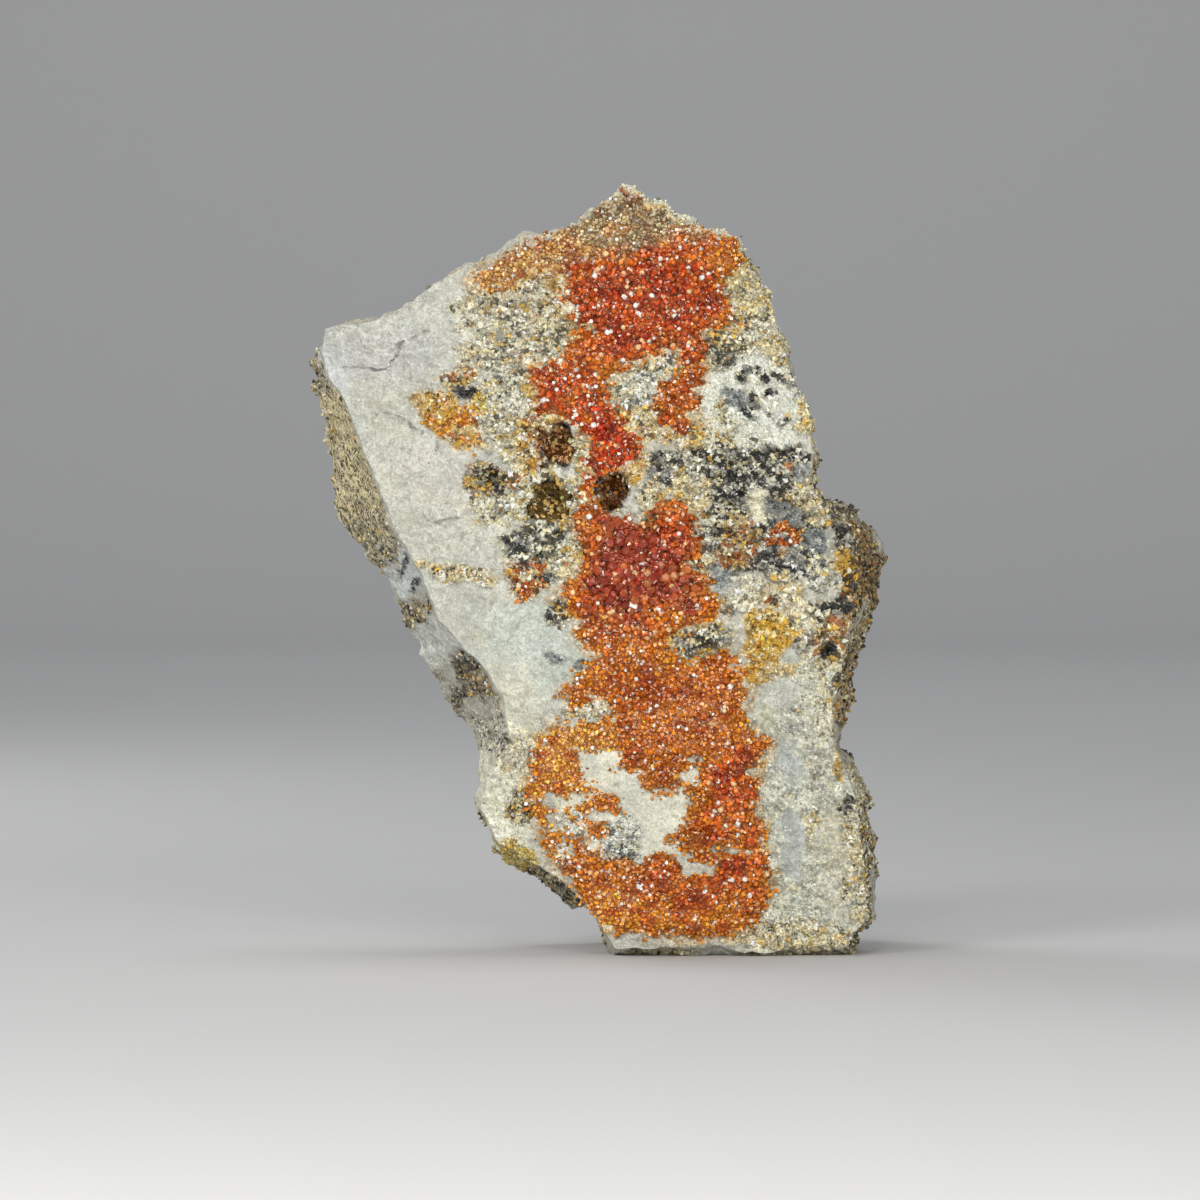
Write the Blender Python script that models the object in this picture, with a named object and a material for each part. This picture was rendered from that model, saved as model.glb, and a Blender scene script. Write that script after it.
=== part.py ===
"""Vanadinite on matrix: an upright slab of pale quartz rock with a crust of small six-sided
vanadinite crystals grown down its front, three crystal-lined hollows, and a flat broken base.

Blender 4.5.  Lengths below are in millimetres, and MM turns them into Blender's metres.
+Z is up, the crystal face looks along -Y, and the origin is under the middle of the specimen's
box, on the plane that it stands on.
"""

import math

import bmesh
import bpy
import numpy as np
from mathutils import Matrix, Vector

MM = 0.001

# ---------------------------------------------------------------- driving dimensions, mm
FRONT_DEPTH = 13.0      # how far the plain front face stands forward of the XZ plane
CENTRING = np.array([0.0, -2.13, 0.0])  # puts the middle of the specimen's box over the origin
GAP = 0.3               # clearance between the rock and what grows on it
CRUST_THIN = 1.0        # crust thickness away from its thick patches
CRUST_MARGIN = 2.6      # width over which the crust thins towards its outline
CRUST_EDGE_SHARE = 0.55  # thickness at the outline, as a share of the full thickness
VUG_LINING = 0.9        # thickness of the crystal lining in a hollow
LINING_SET_BACK = 0.8   # how far the lining's rim and its own hollow lie behind the front face
LINING_CLEARANCE = 0.35  # clearance between a hollow and its lining

# Reliefs: height in mm, size of their features in mm, and seed of their noise.
FRONT_RELIEF = (0.45, 7.0, 5)
GRAIN_RELIEF = (1.1, 3.6, 7)     # granular patches of the front
CRUST_RELIEF = (0.3, 3.2, 9)     # lumps of the crust
BACK_RELIEF = (1.3, 9.0, 11)
BACK_RELIEF_LEVEL = 40.0         # Y at which the back's noise is taken
WALL_RELIEF, WALL_RELIEF_SIZE = 1.5, 8.0
FINE_WALL_SEED, COARSE_WALL_SEED = 21, 31
MIDDLE = np.array([2.0, 0.0, 50.0])  # the sides are broken in towards the Y line through here

# Grid of the front face: columns across, rows down.  Both even, because the back has half.
COLUMNS, ROWS = 24, 34
FINE_WALL_ROWS, COARSE_WALL_ROWS = 2, 5
EVENING_ROUNDS = 2     # how often each inner grid point is moved between its neighbours
SLOPE_STEP = 0.5       # step over which the front's slope is taken, mm
CUTTER_NEAR, CUTTER_FAR = -40.0, 10.0  # Y of the ends of the prisms that cut the crust, mm

# ---------------------------------------------------------------- outlines, mm
# Each ring of the rock has four sides, listed between the same four corners: top left, top
# right, bottom right and bottom left.  Tops and bottoms run left to right, sides run down.
# FRONT_* is the edge of the front face, as (x, z).
FRONT_TOP = [
    (-35.5, 81.0), (-33.0, 81.5), (-29.0, 82.0), (-26.0, 83.5), (-23.0, 85.5), (-20.0, 87.5),
    (-17.5, 89.0), (-15.0, 89.5), (-11.5, 91.5), (-10.0, 93.0), (-7.5, 93.0), (-3.0, 94.5),
    (-1.5, 96.0), (1.0, 97.5), (3.0, 99.5), (5.0, 98.5), (6.5, 97.0), (8.0, 97.0),
    (9.6, 95.3), (12.5, 94.0), (15.5, 93.0), (18.0, 92.5),
]
FRONT_RIGHT = [
    (18.0, 92.5), (18.5, 90.0), (20.5, 87.0), (22.0, 85.5), (22.5, 82.0), (23.5, 78.5),
    (25.0, 74.0), (27.0, 70.0), (27.0, 67.0), (27.5, 65.0), (27.0, 61.0), (28.5, 59.0),
    (30.0, 57.5), (32.0, 55.5), (33.0, 53.0), (33.5, 49.5), (33.0, 46.0), (32.0, 42.0),
    (31.5, 39.0), (31.0, 35.5), (30.0, 32.5), (30.0, 29.5), (30.5, 26.5), (32.0, 23.5),
    (33.0, 20.5), (33.5, 16.5), (34.0, 12.5), (34.0, 9.5), (34.5, 6.5), (34.0, 4.0),
    (32.0, 2.5), (32.0, 1.0),
]
FRONT_LEFT = [
    (-35.5, 81.0), (-36.0, 78.5), (-35.0, 74.5), (-33.5, 73.0), (-32.5, 70.5), (-31.5, 68.0),
    (-30.0, 64.0), (-27.5, 58.5), (-26.5, 55.5), (-25.0, 52.5), (-23.0, 49.5), (-22.0, 46.5),
    (-20.5, 43.5), (-18.0, 40.5), (-16.0, 38.5), (-14.0, 36.0), (-12.5, 33.5), (-12.0, 30.5),
    (-11.0, 27.5), (-12.5, 26.0), (-14.5, 23.5), (-15.0, 21.0), (-15.5, 19.0), (-14.0, 16.5),
    (-13.0, 14.5), (-10.5, 13.0), (-7.5, 11.5), (-5.0, 10.0), (-2.5, 7.5), (0.0, 4.5),
    (2.0, 1.0),
]
FRONT_BOTTOM = [
    (2.0, 1.0), (5.5, 1.5), (7.0, 1.5), (9.0, 2.0), (12.5, 2.0), (15.5, 2.0), (17.0, 1.5),
    (18.5, 0.5), (21.0, 0.5), (23.5, 1.0), (26.5, 1.5), (30.0, 1.5), (32.0, 1.0),
]
# GIRTH_* is the widest ring, which gives the silhouette, as (x, z, y).
GIRTH_TOP = [
    (-35.5, 81.0, 5), (-33.5, 82.0, 4), (-29.0, 82.5, 3), (-26.0, 84.0, 2), (-23.0, 86.0, 0),
    (-20.5, 87.5, -1), (-17.5, 89.5, -3), (-15.5, 89.5, -4), (-12.0, 92.0, -6),
    (-10.0, 93.5, -7), (-7.5, 93.5, -7), (-3.0, 95.0, -6), (-1.5, 96.5, -5), (1.0, 98.0, -4),
    (3.0, 100.0, -3), (5.5, 98.5, -3), (6.5, 97.5, -4), (8.0, 97.5, -4), (9.8, 95.8, -5),
    (12.5, 94.5, -7), (15.5, 93.5, -8), (18.0, 93.0, -8),
]
GIRTH_RIGHT = [
    (18.0, 93.0, -8), (19.0, 90.5, -9), (21.0, 87.5, -9), (22.0, 85.5, -9), (23.0, 82.0, -9),
    (24.0, 79.0, -9), (25.5, 74.0, -9), (27.5, 70.0, -9), (27.5, 67.0, -9), (28.5, 65.5, -9),
    (28.0, 61.0, -8), (29.0, 59.0, -6), (31.0, 58.5, -2), (33.5, 57.5, 0), (34.0, 56.0, 2),
    (35.5, 55.0, 3), (37.0, 53.0, 3), (37.5, 51.0, 3), (36.5, 49.0, 3), (36.0, 44.0, 3),
    (35.0, 41.0, 2), (33.5, 38.0, 0), (33.0, 36.0, -2), (33.0, 33.5, -3), (32.0, 31.0, -3),
    (31.5, 29.0, -3), (31.5, 26.5, -3), (33.0, 25.0, -3), (35.0, 20.5, -3), (35.0, 16.5, -3),
    (35.5, 11.5, -4), (36.0, 9.0, -5), (36.0, 6.0, -6), (35.5, 3.5, -7), (33.5, 2.5, -8),
    (33.5, -1.0, -9),
]
GIRTH_LEFT = [
    (-35.5, 81.0, 5), (-37.0, 78.0, 5), (-37.5, 75.5, 5), (-37.0, 72.5, 5), (-36.0, 69.5, 5),
    (-35.5, 65.5, 5), (-34.5, 62.5, 5), (-34.5, 58.5, 6), (-34.0, 56.0, 6), (-32.0, 53.5, 6),
    (-29.5, 50.0, 6), (-27.5, 47.0, 6), (-25.0, 42.0, 5), (-23.0, 38.0, 5), (-21.0, 33.5, 4),
    (-19.0, 31.0, 3), (-17.5, 29.0, 3), (-16.0, 27.0, 2), (-16.0, 23.5, 1), (-15.5, 21.5, 0),
    (-16.5, 20.0, -1), (-16.0, 18.5, -1), (-15.0, 16.0, 0), (-14.0, 13.5, 2),
    (-12.5, 11.5, 3), (-8.0, 9.0, 4), (-5.5, 7.0, 3), (-3.5, 5.0, 1), (-2.0, 5.5, -1),
    (0.0, 3.0, -5), (1.5, -1.0, -8),
]
GIRTH_BOTTOM = [(1.5, -1.0, -8), (7.5, -1.2, -9), (15.5, -1.2, -9), (26.0, -1.2, -9), (33.5, -1.0, -9)]
# BACK_* is the edge of the back face, as (x, z).
BACK_TOP = [(-31.0, 76.5), (-22.0, 82.0), (-10.0, 88.5), (2.0, 91.5), (10.0, 90.0), (14.0, 89.0)]
BACK_RIGHT = [
    (14.0, 89.0), (20.0, 80.0), (24.0, 66.0), (30.0, 55.0), (31.0, 46.0), (28.0, 34.0),
    (29.0, 22.0), (31.0, 10.0), (31.0, -1.0),
]
BACK_LEFT = [
    (-31.0, 76.5), (-33.0, 68.0), (-31.5, 58.0), (-27.0, 49.5), (-21.0, 39.0), (-15.0, 29.0),
    (-12.0, 19.0), (-8.0, 11.5), (-1.5, 6.0), (3.5, -1.0),
]
BACK_BOTTOM = [(3.5, -1.0), (15.0, -1.2), (31.0, -1.0)]

# Outline of the vanadinite crust on the front face, clockwise from its upper left, as (x, z).
CRUST_OUTLINE = [
    (-16.5, 86.5), (-15.5, 88.5), (-10.0, 92.0), (-6.5, 92.5), (-2.5, 94.0), (1.5, 97.0),
    (3.0, 98.5), (7.0, 96.0), (8.5, 94.5), (15.0, 92.0), (17.5, 91.5), (18.0, 89.5),
    (15.5, 87.5), (16.5, 83.0), (12.5, 80.5), (14.0, 79.5), (13.5, 76.0), (12.5, 72.5),
    (11.5, 67.0), (7.5, 68.0), (9.0, 74.0), (11.0, 76.0), (9.5, 78.0), (5.5, 77.0),
    (1.5, 73.5), (1.5, 69.5), (4.5, 67.5), (5.0, 63.0), (1.5, 63.5), (-0.8, 61.5),
    (-1.0, 59.0), (1.5, 57.8), (5.5, 55.5), (8.0, 58.5), (10.5, 59.0), (12.0, 57.0),
    (13.0, 52.5), (11.5, 50.5), (13.5, 49.5), (15.5, 45.5), (14.5, 43.0), (11.0, 42.5),
    (9.0, 41.0), (9.0, 39.0), (12.5, 38.5), (16.0, 40.0), (16.5, 38.0), (26.0, 36.0),
    (19.0, 35.0), (19.5, 30.5), (21.5, 27.0), (20.0, 24.5), (20.5, 18.0), (22.5, 13.5),
    (22.0, 9.0), (20.0, 4.0), (17.5, 2.8), (12.5, 3.0), (1.5, 3.7), (-1.0, 6.0),
    (-4.5, 11.0), (-8.0, 14.5), (-8.5, 21.0), (-9.0, 26.0), (-6.5, 29.5), (2.0, 31.0),
    (1.0, 33.0), (-3.5, 32.5), (-5.5, 34.5), (-1.0, 38.5), (-3.5, 41.5), (-2.5, 43.5),
    (-6.0, 46.5), (-2.0, 51.0), (-2.5, 54.5), (-4.0, 57.0), (-2.2, 59.0), (-2.5, 63.0),
    (-1.5, 65.0), (-3.5, 69.0), (-8.0, 70.0), (-9.5, 77.0), (-5.0, 76.0), (-4.0, 79.5),
    (0.0, 81.0), (-5.0, 84.0), (-3.5, 86.5), (-7.0, 88.5), (-15.0, 85.5),
]
# Bare rock inside the crust.
CRUST_WINDOW = [
    (-2.5, 26.0), (1.5, 26.5), (5.5, 22.5), (12.5, 21.0), (11.0, 17.0), (7.5, 17.0),
    (5.5, 11.8), (-1.5, 15.5), (3.0, 18.0), (2.0, 21.5), (-2.0, 22.0),
]
# Small separate patches of the same crust.
LEFT_PATCH = [
    (-22.0, 70.5), (-20.5, 73.0), (-17.5, 72.0), (-14.5, 71.5), (-14.5, 69.0), (-16.0, 66.5),
    (-18.5, 67.0), (-21.0, 67.5),
]
RIGHT_PATCH = [(21.5, 54.0), (23.0, 56.0), (26.0, 55.0), (25.5, 52.5), (23.0, 52.0)]
CENTRE_PATCH = [(-11.0, 49.0), (-9.5, 51.0), (-8.0, 50.0), (-8.5, 47.0), (-10.5, 46.5)]

# Swells and hollows of the front face: (x, z, half width, half height, turn in degrees, lift).
FRONT_SWELLS = [
    (2.0, 50.0, 40.0, 60.0, 0, 4.0),       # the whole face is gently domed
    (3.0, 104.0, 14.0, 10.0, 0, -5.0),     # the peak leans back
    (-40.0, 75.0, 14.0, 22.0, 0, -3.0),    # the quartz falls away to the left
    (7.0, 85.0, 13.0, 8.0, 0, 1.2),        # upper crust
    (-4.0, 61.0, 9.0, 8.0, 0, -1.6),       # belt of hollows
    (5.5, 51.0, 7.0, 7.0, 0, -2.2),        # bowl with the darkest crystals
    (21.0, 60.0, 9.0, 8.0, 0, 1.5),        # dark granular swell
    (41.0, 50.0, 8.0, 14.0, 0, -9.0),      # the knob curves back at the right edge
    (12.3, 40.9, 4.6, 2.0, 15, 2.2),       # lump of grey rock through the crust
    (5.0, 33.5, 6.0, 4.0, 0, -1.6),        # shaded dip below the lump
    (12.0, 17.0, 11.0, 16.0, 0, 2.0),      # lower crust
    (-16.0, 15.0, 9.0, 12.0, 0, -5.0),     # lower left corner falls away
    (28.0, 15.0, 8.0, 20.0, 0, -1.0),      # lower right quartz
    (-14.2, 61.5, 2.2, 1.9, 0, -2.6),      # shallow pocket left of the hollows
]
# Granular patches of the front face, which are rougher: (x, z, half width, half height, turn, share).
GRAIN_PATCHES = [
    (20.0, 59.0, 11.0, 9.0, 0, 1.0),
    (34.0, 52.0, 5.0, 9.0, 0, 1.0),
    (-9.0, 83.0, 8.0, 5.0, 20, 0.6),
    (-9.0, 61.0, 9.0, 9.0, 0, 0.8),
    (-6.0, 12.0, 6.0, 10.0, -40, 0.7),
]
# Where the crust is thick: (x, z, half width, half height, turn in degrees, added thickness).
CRUST_SWELLS = [
    (7.0, 84.0, 10.0, 7.0, 0, 0.8),
    (6.0, 50.0, 9.0, 9.0, 0, 1.1),
    (12.0, 18.0, 11.0, 17.0, 0, 0.7),
]
# Crystal-lined hollows: name to (x, z, half width, half height, depth).
VUGS = {
    "upper": (-5.6, 66.2, 2.5, 2.3, 5.0),
    "middle": (-6.8, 58.4, 2.9, 2.9, 5.5),
    "right": (1.9, 60.4, 2.5, 1.9, 4.0),
}
VUG_ROUGHNESS = 0.14         # unevenness of a hollow's wall, as a share of its size
LINING_ROUGHNESS = 0.3       # unevenness of the lining's inner side
VUG_LUMPS, VUG_LUMP_SIZE = 3.0, 1.3  # scale of a hollow's noise
VUG_MOUTH_SHARE = 0.1        # how far a hollow's middle lies behind the face, as a share of its depth
VUG_SEED = 51
# Broken planes of the back, as (y at the origin, slope along x, slope along z).
BACK_PLANES = [
    (14.0, 0.42, 0.0), (26.0, 0.02, 0.0), (36.0, 0.10, -0.25), (46.0, -0.75, 0.0), (21.0, 0.08, 0.13),
]

# Larger crystals that show on the crust.
CRYSTAL_COUNT = 46
CRYSTAL_RADIUS = (0.75, 1.15)
CRYSTAL_STANDS_OUT = (0.5, 0.9)
CRYSTAL_SPACING = 3.0
CRYSTAL_MARGIN = 1.5
PATCH_CRYSTAL_COUNT = 3
PATCH_CRYSTAL_MARGIN = 0.9
CRYSTAL_ROOT_SHARE = 0.35    # how deep a crystal is rooted, as a share of the crust's thickness
CRUST_SEED = 14
PATCH_SEEDS = {"left": 15, "right": 16, "centre": 17}
CRYSTAL_TILT = math.radians(20)
CRYSTAL_TRIES = 20000

# Colour (linear red, green, blue), roughness and metallic value of each finish.
ROCK_FINISH = ((0.58, 0.55, 0.43), 0.75, 0.0)
VANADINITE_FINISH = ((0.46, 0.08, 0.025), 0.3, 0.0)
LINING_FINISH = ((0.13, 0.06, 0.02), 0.4, 0.0)


# ---------------------------------------------------------------- noise and fields
def lattice_value(cells, seed):
    """A repeatable number from 0 to 1 for each whole-numbered lattice point."""
    mixed = cells[..., 0] * 374761393 + cells[..., 1] * 668265263 + cells[..., 2] * 2147483647
    mixed = (mixed + seed * 974711) & 0xFFFFFFFF
    mixed = ((mixed ^ (mixed >> 13)) * 1274126177) & 0xFFFFFFFF
    return ((mixed ^ (mixed >> 16)) & 0xFFFFFF) / float(0xFFFFFF)


def value_noise(points, size, seed):
    """Smooth noise from -1 to 1 with features of the given size."""
    scaled = np.asarray(points, float) / size
    base = np.floor(scaled).astype(np.int64)
    part = scaled - base
    part = part * part * (3 - 2 * part)
    total = np.zeros(scaled.shape[:-1])
    for corner in np.ndindex(2, 2, 2):
        weight = np.prod(np.where(np.array(corner) == 1, part, 1 - part), axis=-1)
        total += weight * lattice_value(base + np.array(corner), seed)
    return 2 * total - 1


def swell_sum(x, z, swells):
    """Sum of rounded hills and hollows at (x, z)."""
    total = np.zeros(np.broadcast(x, z).shape)
    for cx, cz, half_x, half_z, turn, lift in swells:
        c, s = math.cos(math.radians(turn)), math.sin(math.radians(turn))
        across = ((x - cx) * c + (z - cz) * s) / half_x
        along = ((z - cz) * c - (x - cx) * s) / half_z
        total += lift * np.exp(-(across ** 2 + along ** 2))
    return total


def relief(points, height, size, seed):
    """Noise of the given height."""
    return height * value_noise(points, size, seed)


def front_y(x, z):
    """Depth of the front face; more negative is further forward."""
    points = np.stack([x, np.zeros_like(x), z], axis=-1)
    rough = relief(points, *FRONT_RELIEF)
    grain = relief(points, *GRAIN_RELIEF) * swell_sum(x, z, GRAIN_PATCHES)
    return -(FRONT_DEPTH + swell_sum(x, z, FRONT_SWELLS) + rough + grain)


def back_y(x, z):
    """Depth of the back face: the nearest of a few broken planes, slightly rough."""
    planes = [start + slope_x * x + slope_z * z for start, slope_x, slope_z in BACK_PLANES]
    points = np.stack([x, np.full_like(x, BACK_RELIEF_LEVEL), z], axis=-1)
    return np.min(planes, axis=0) + relief(points, *BACK_RELIEF)


# ---------------------------------------------------------------- grid of the rock
def split_to(points, count):
    """The polyline as pieces of nearly equal length in the XZ plane, which keep its corners."""
    line = np.array(points, float)
    steps = np.linalg.norm(np.diff(line[:, :2], axis=0), axis=1)
    along = np.concatenate([[0.0], np.cumsum(steps)])
    wanted = np.linspace(0.0, along[-1], count + 1)
    wanted[np.rint(count * along / along[-1]).astype(int)] = along
    return np.stack([np.interp(wanted, along, column) for column in line.T], axis=-1)


def coons(top, right, bottom, left):
    """A grid filled in between four sides that share their corners, and evened out."""
    u = np.linspace(0, 1, len(top))[None, :, None]
    v = np.linspace(0, 1, len(left))[:, None, None]
    across = (1 - v) * top[None] + v * bottom[None]
    down = (1 - u) * left[:, None] + u * right[:, None]
    upper = (1 - u) * top[0] + u * top[-1]
    lower = (1 - u) * bottom[0] + u * bottom[-1]
    grid = across + down - ((1 - v) * upper + v * lower)
    for _ in range(EVENING_ROUNDS):
        around = grid[:-2, 1:-1] + grid[2:, 1:-1] + grid[1:-1, :-2] + grid[1:-1, 2:]
        grid[1:-1, 1:-1] = around / 4
    return grid


def ring(top, right, bottom, left):
    """The four sides as one closed run of points: clockwise as the front is looked at."""
    return np.concatenate([top[:-1], right[:-1], bottom[:0:-1], left[:0:-1]])


def grid_ring(rows, columns):
    """Indices of a grid's rim vertices, in the same order as ring()."""
    index = np.arange(rows * columns).reshape(rows, columns)
    return ring(index[0], index[:, -1], index[-1], index[:, 0])


def grid_faces(rows, columns, start, turn_over):
    """Quads of a grid whose first vertex is number start."""
    index = start + np.arange(rows * columns).reshape(rows, columns)
    quads = np.stack([index[:-1, :-1], index[1:, :-1], index[1:, 1:], index[:-1, 1:]], axis=-1)
    quads = quads.reshape(-1, 4)
    return quads[:, ::-1] if turn_over else quads


def band_faces(near, far):
    """Quads between two rings of vertex numbers with as many points each."""
    return np.stack([near, np.roll(near, -1), np.roll(far, -1), far], axis=-1)


def thinning_faces(near, far):
    """Triangles between a ring and one with half as many points."""
    even, odd, following = near[0::2], near[1::2], np.roll(near[0::2], -1)
    far_next = np.roll(far, -1)
    return np.concatenate([
        np.stack([even, odd, far], axis=-1),
        np.stack([odd, far_next, far], axis=-1),
        np.stack([odd, following, far_next], axis=-1),
    ])


def front_grid():
    """Points of the front face, rows by columns by (x, y, z)."""
    flat = coons(split_to(FRONT_TOP, COLUMNS), split_to(FRONT_RIGHT, ROWS),
                 split_to(FRONT_BOTTOM, COLUMNS), split_to(FRONT_LEFT, ROWS))
    x, z = flat[..., 0], flat[..., 1]
    return np.stack([x, front_y(x, z), z], axis=-1)


def girth_ring():
    """Points of the widest ring, in the order of ring()."""
    flat = ring(split_to(GIRTH_TOP, COLUMNS), split_to(GIRTH_RIGHT, ROWS),
                split_to(GIRTH_BOTTOM, COLUMNS), split_to(GIRTH_LEFT, ROWS))
    return flat[:, [0, 2, 1]]


def back_grid():
    """Points of the back face, at half the front's resolution."""
    columns, rows = COLUMNS // 2, ROWS // 2
    flat = coons(split_to(BACK_TOP, columns), split_to(BACK_RIGHT, rows),
                 split_to(BACK_BOTTOM, columns), split_to(BACK_LEFT, rows))
    x, z = flat[..., 0], flat[..., 1]
    return np.stack([x, back_y(x, z), z], axis=-1)


def wall_ring(near, far, share, seed):
    """A ring part of the way from near to far, broken inwards by noise."""
    points = near + share * (far - near)
    inwards = (MIDDLE - points) * np.array([1.0, 0.0, 1.0])
    inwards /= np.linalg.norm(inwards, axis=1, keepdims=True)
    depth = WALL_RELIEF * 0.5 * (1 + value_noise(points, WALL_RELIEF_SIZE, seed))
    return points + inwards * (depth * math.sin(math.pi * share))[:, None]


def rock_mesh():
    """Vertices and faces of the rock before its base and hollows are cut."""
    front, back, girth = front_grid(), back_grid(), girth_ring()
    points, faces = [front.reshape(-1, 3)], [grid_faces(ROWS + 1, COLUMNS + 1, 0, False)]
    total = len(points[0])
    last = grid_ring(ROWS + 1, COLUMNS + 1)
    front_rim = points[0][last]

    def add_ring(new_points, face_maker):
        nonlocal total, last
        new = total + np.arange(len(new_points))
        points.append(new_points)
        faces.append(face_maker(last, new))
        total, last = total + len(new_points), new

    for step in range(1, FINE_WALL_ROWS):
        add_ring(wall_ring(front_rim, girth, step / FINE_WALL_ROWS, FINE_WALL_SEED + step), band_faces)
    add_ring(girth, band_faces)
    back_flat = back.reshape(-1, 3)
    back_order = grid_ring(ROWS // 2 + 1, COLUMNS // 2 + 1)
    back_rim = back_flat[back_order]
    for step in range(1, COARSE_WALL_ROWS):
        share = step / COARSE_WALL_ROWS
        maker = thinning_faces if step == 1 else band_faces
        add_ring(wall_ring(girth[::2], back_rim, share, COARSE_WALL_SEED + step), maker)
    start = total
    points.append(back_flat)
    faces.append(band_faces(last, start + back_order))
    faces.append(grid_faces(ROWS // 2 + 1, COLUMNS // 2 + 1, start, True))
    return np.concatenate(points), [tuple(map(int, f)) for group in faces for f in group]


# ---------------------------------------------------------------- Blender helpers
def clear_scene():
    """Removes whatever the scene starts with."""
    for obj in list(bpy.data.objects):
        bpy.data.objects.remove(obj, do_unlink=True)


def make_material(name, finish):
    """A plain material from a colour, a roughness and a metallic value."""
    colour, roughness, metallic = finish
    material = bpy.data.materials.new(name)
    material.use_nodes = True
    shader = material.node_tree.nodes["Principled BSDF"]
    shader.inputs["Base Color"].default_value = (*colour, 1.0)
    shader.inputs["Roughness"].default_value = roughness
    shader.inputs["Metallic"].default_value = metallic
    material.diffuse_color = (*colour, 1.0)
    return material


def new_object(name, points_mm, faces, material=None):
    """A triangulated mesh object from points in millimetres, its faces turned outwards."""
    mesh = bpy.data.meshes.new(name)
    placed = (np.asarray(points_mm, float) + CENTRING) * MM
    mesh.from_pydata(placed.tolist(), [], faces)
    bm = bmesh.new()
    bm.from_mesh(mesh)
    bmesh.ops.recalc_face_normals(bm, faces=bm.faces)
    bmesh.ops.triangulate(bm, faces=bm.faces)
    bm.to_mesh(mesh)
    bm.free()
    obj = bpy.data.objects.new(name, mesh)
    bpy.context.scene.collection.objects.link(obj)
    if material is not None:
        mesh.materials.append(material)
    return obj


def apply_boolean(obj, operation, other, keep_other=False):
    """Joins, cuts or intersects obj with other, which is then removed."""
    modifier = obj.modifiers.new(operation.lower(), "BOOLEAN")
    modifier.operation = operation
    modifier.solver = "EXACT"
    modifier.object = other
    graph = bpy.context.evaluated_depsgraph_get()
    mesh = bpy.data.meshes.new_from_object(obj.evaluated_get(graph))
    obj.modifiers.clear()
    old, obj.data = obj.data, mesh
    mesh.name = obj.name
    bpy.data.meshes.remove(old)
    if not keep_other:
        bpy.data.objects.remove(other, do_unlink=True)


def outline_prism(name, outline):
    """A tall prism along Y over an outline in the XZ plane, to cut the crust with."""
    count = len(outline)
    near = [(x, CUTTER_NEAR, z) for x, z in outline]
    far = [(x, CUTTER_FAR, z) for x, z in outline]
    sides = [(i, (i + 1) % count, (i + 1) % count + count, i + count) for i in range(count)]
    caps = [tuple(range(count)), tuple(range(2 * count - 1, count - 1, -1))]
    return new_object(name, near + far, sides + caps)


# ---------------------------------------------------------------- crust
def outline_distance(x, z, outline):
    """Distance from (x, z) to the nearest side of an outline."""
    nearest = np.full(np.shape(x), 1e9)
    for (ax, az), (bx, bz) in zip(outline, outline[1:] + outline[:1]):
        dx, dz = bx - ax, bz - az
        share = np.clip(((x - ax) * dx + (z - az) * dz) / (dx * dx + dz * dz), 0, 1)
        nearest = np.minimum(nearest, np.hypot(x - ax - share * dx, z - az - share * dz))
    return nearest


def inside(x, z, outline):
    """True where (x, z) is inside an outline."""
    found = np.zeros(np.shape(x), bool)
    for (ax, az), (bx, bz) in zip(outline, outline[1:] + outline[:1]):
        if az != bz:
            crossing = (az > z) != (bz > z)
            found ^= crossing & (x < (bx - ax) * (z - az) / (bz - az) + ax)
    return found


def crust_thickness(x, z):
    """Thickness of the crust, thinner along its outline and round the bare window."""
    points = np.stack([x, np.zeros_like(x), z], axis=-1)
    full = CRUST_THIN + swell_sum(x, z, CRUST_SWELLS) + relief(points, *CRUST_RELIEF)
    edge = np.minimum(outline_distance(x, z, CRUST_OUTLINE),
                      outline_distance(x, z, CRUST_WINDOW))
    ease = CRUST_EDGE_SHARE + (1 - CRUST_EDGE_SHARE) * np.clip(edge / CRUST_MARGIN, 0, 1)
    return full * ease


def crust_sheet(name, material):
    """A shell over the whole front face, GAP clear of it, as thick as the crust."""
    grid = front_grid()
    x, z = grid[..., 0], grid[..., 2]
    under = grid - np.array([0.0, GAP, 0.0])
    over = under.copy()
    over[..., 1] -= crust_thickness(x, z)
    rows, columns = ROWS + 1, COLUMNS + 1
    count = rows * columns
    rim = grid_ring(rows, columns)
    faces = [
        *grid_faces(rows, columns, 0, False).tolist(),
        *grid_faces(rows, columns, count, True).tolist(),
        *band_faces(rim, rim + count).tolist(),
    ]
    points = np.concatenate([over.reshape(-1, 3), under.reshape(-1, 3)])
    return new_object(name, points, faces, material)


def front_normal(x, z):
    """Direction in which the front face looks at (x, z)."""
    x, z, step = np.array([x]), np.array([z]), SLOPE_STEP
    slope_x = (front_y(x + step, z) - front_y(x - step, z))[0] / (2 * step)
    slope_z = (front_y(x, z + step) - front_y(x, z - step))[0] / (2 * step)
    return Vector((slope_x, -1.0, slope_z)).normalized()


def crystal_points(centre, axis, turn, radius, below, above):
    """Corners of a six-sided prism: its lower end, then its upper end."""
    to_axis = Vector((0, 0, 1)).rotation_difference(axis).to_matrix() @ Matrix.Rotation(turn, 3, "Z")
    corners = []
    for height in (-below, above):
        for k in range(6):
            angle = math.radians(60 * k)
            local = Vector((radius * math.cos(angle), radius * math.sin(angle), height))
            corners.append(np.array(centre + to_axis @ local))
    return corners


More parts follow.
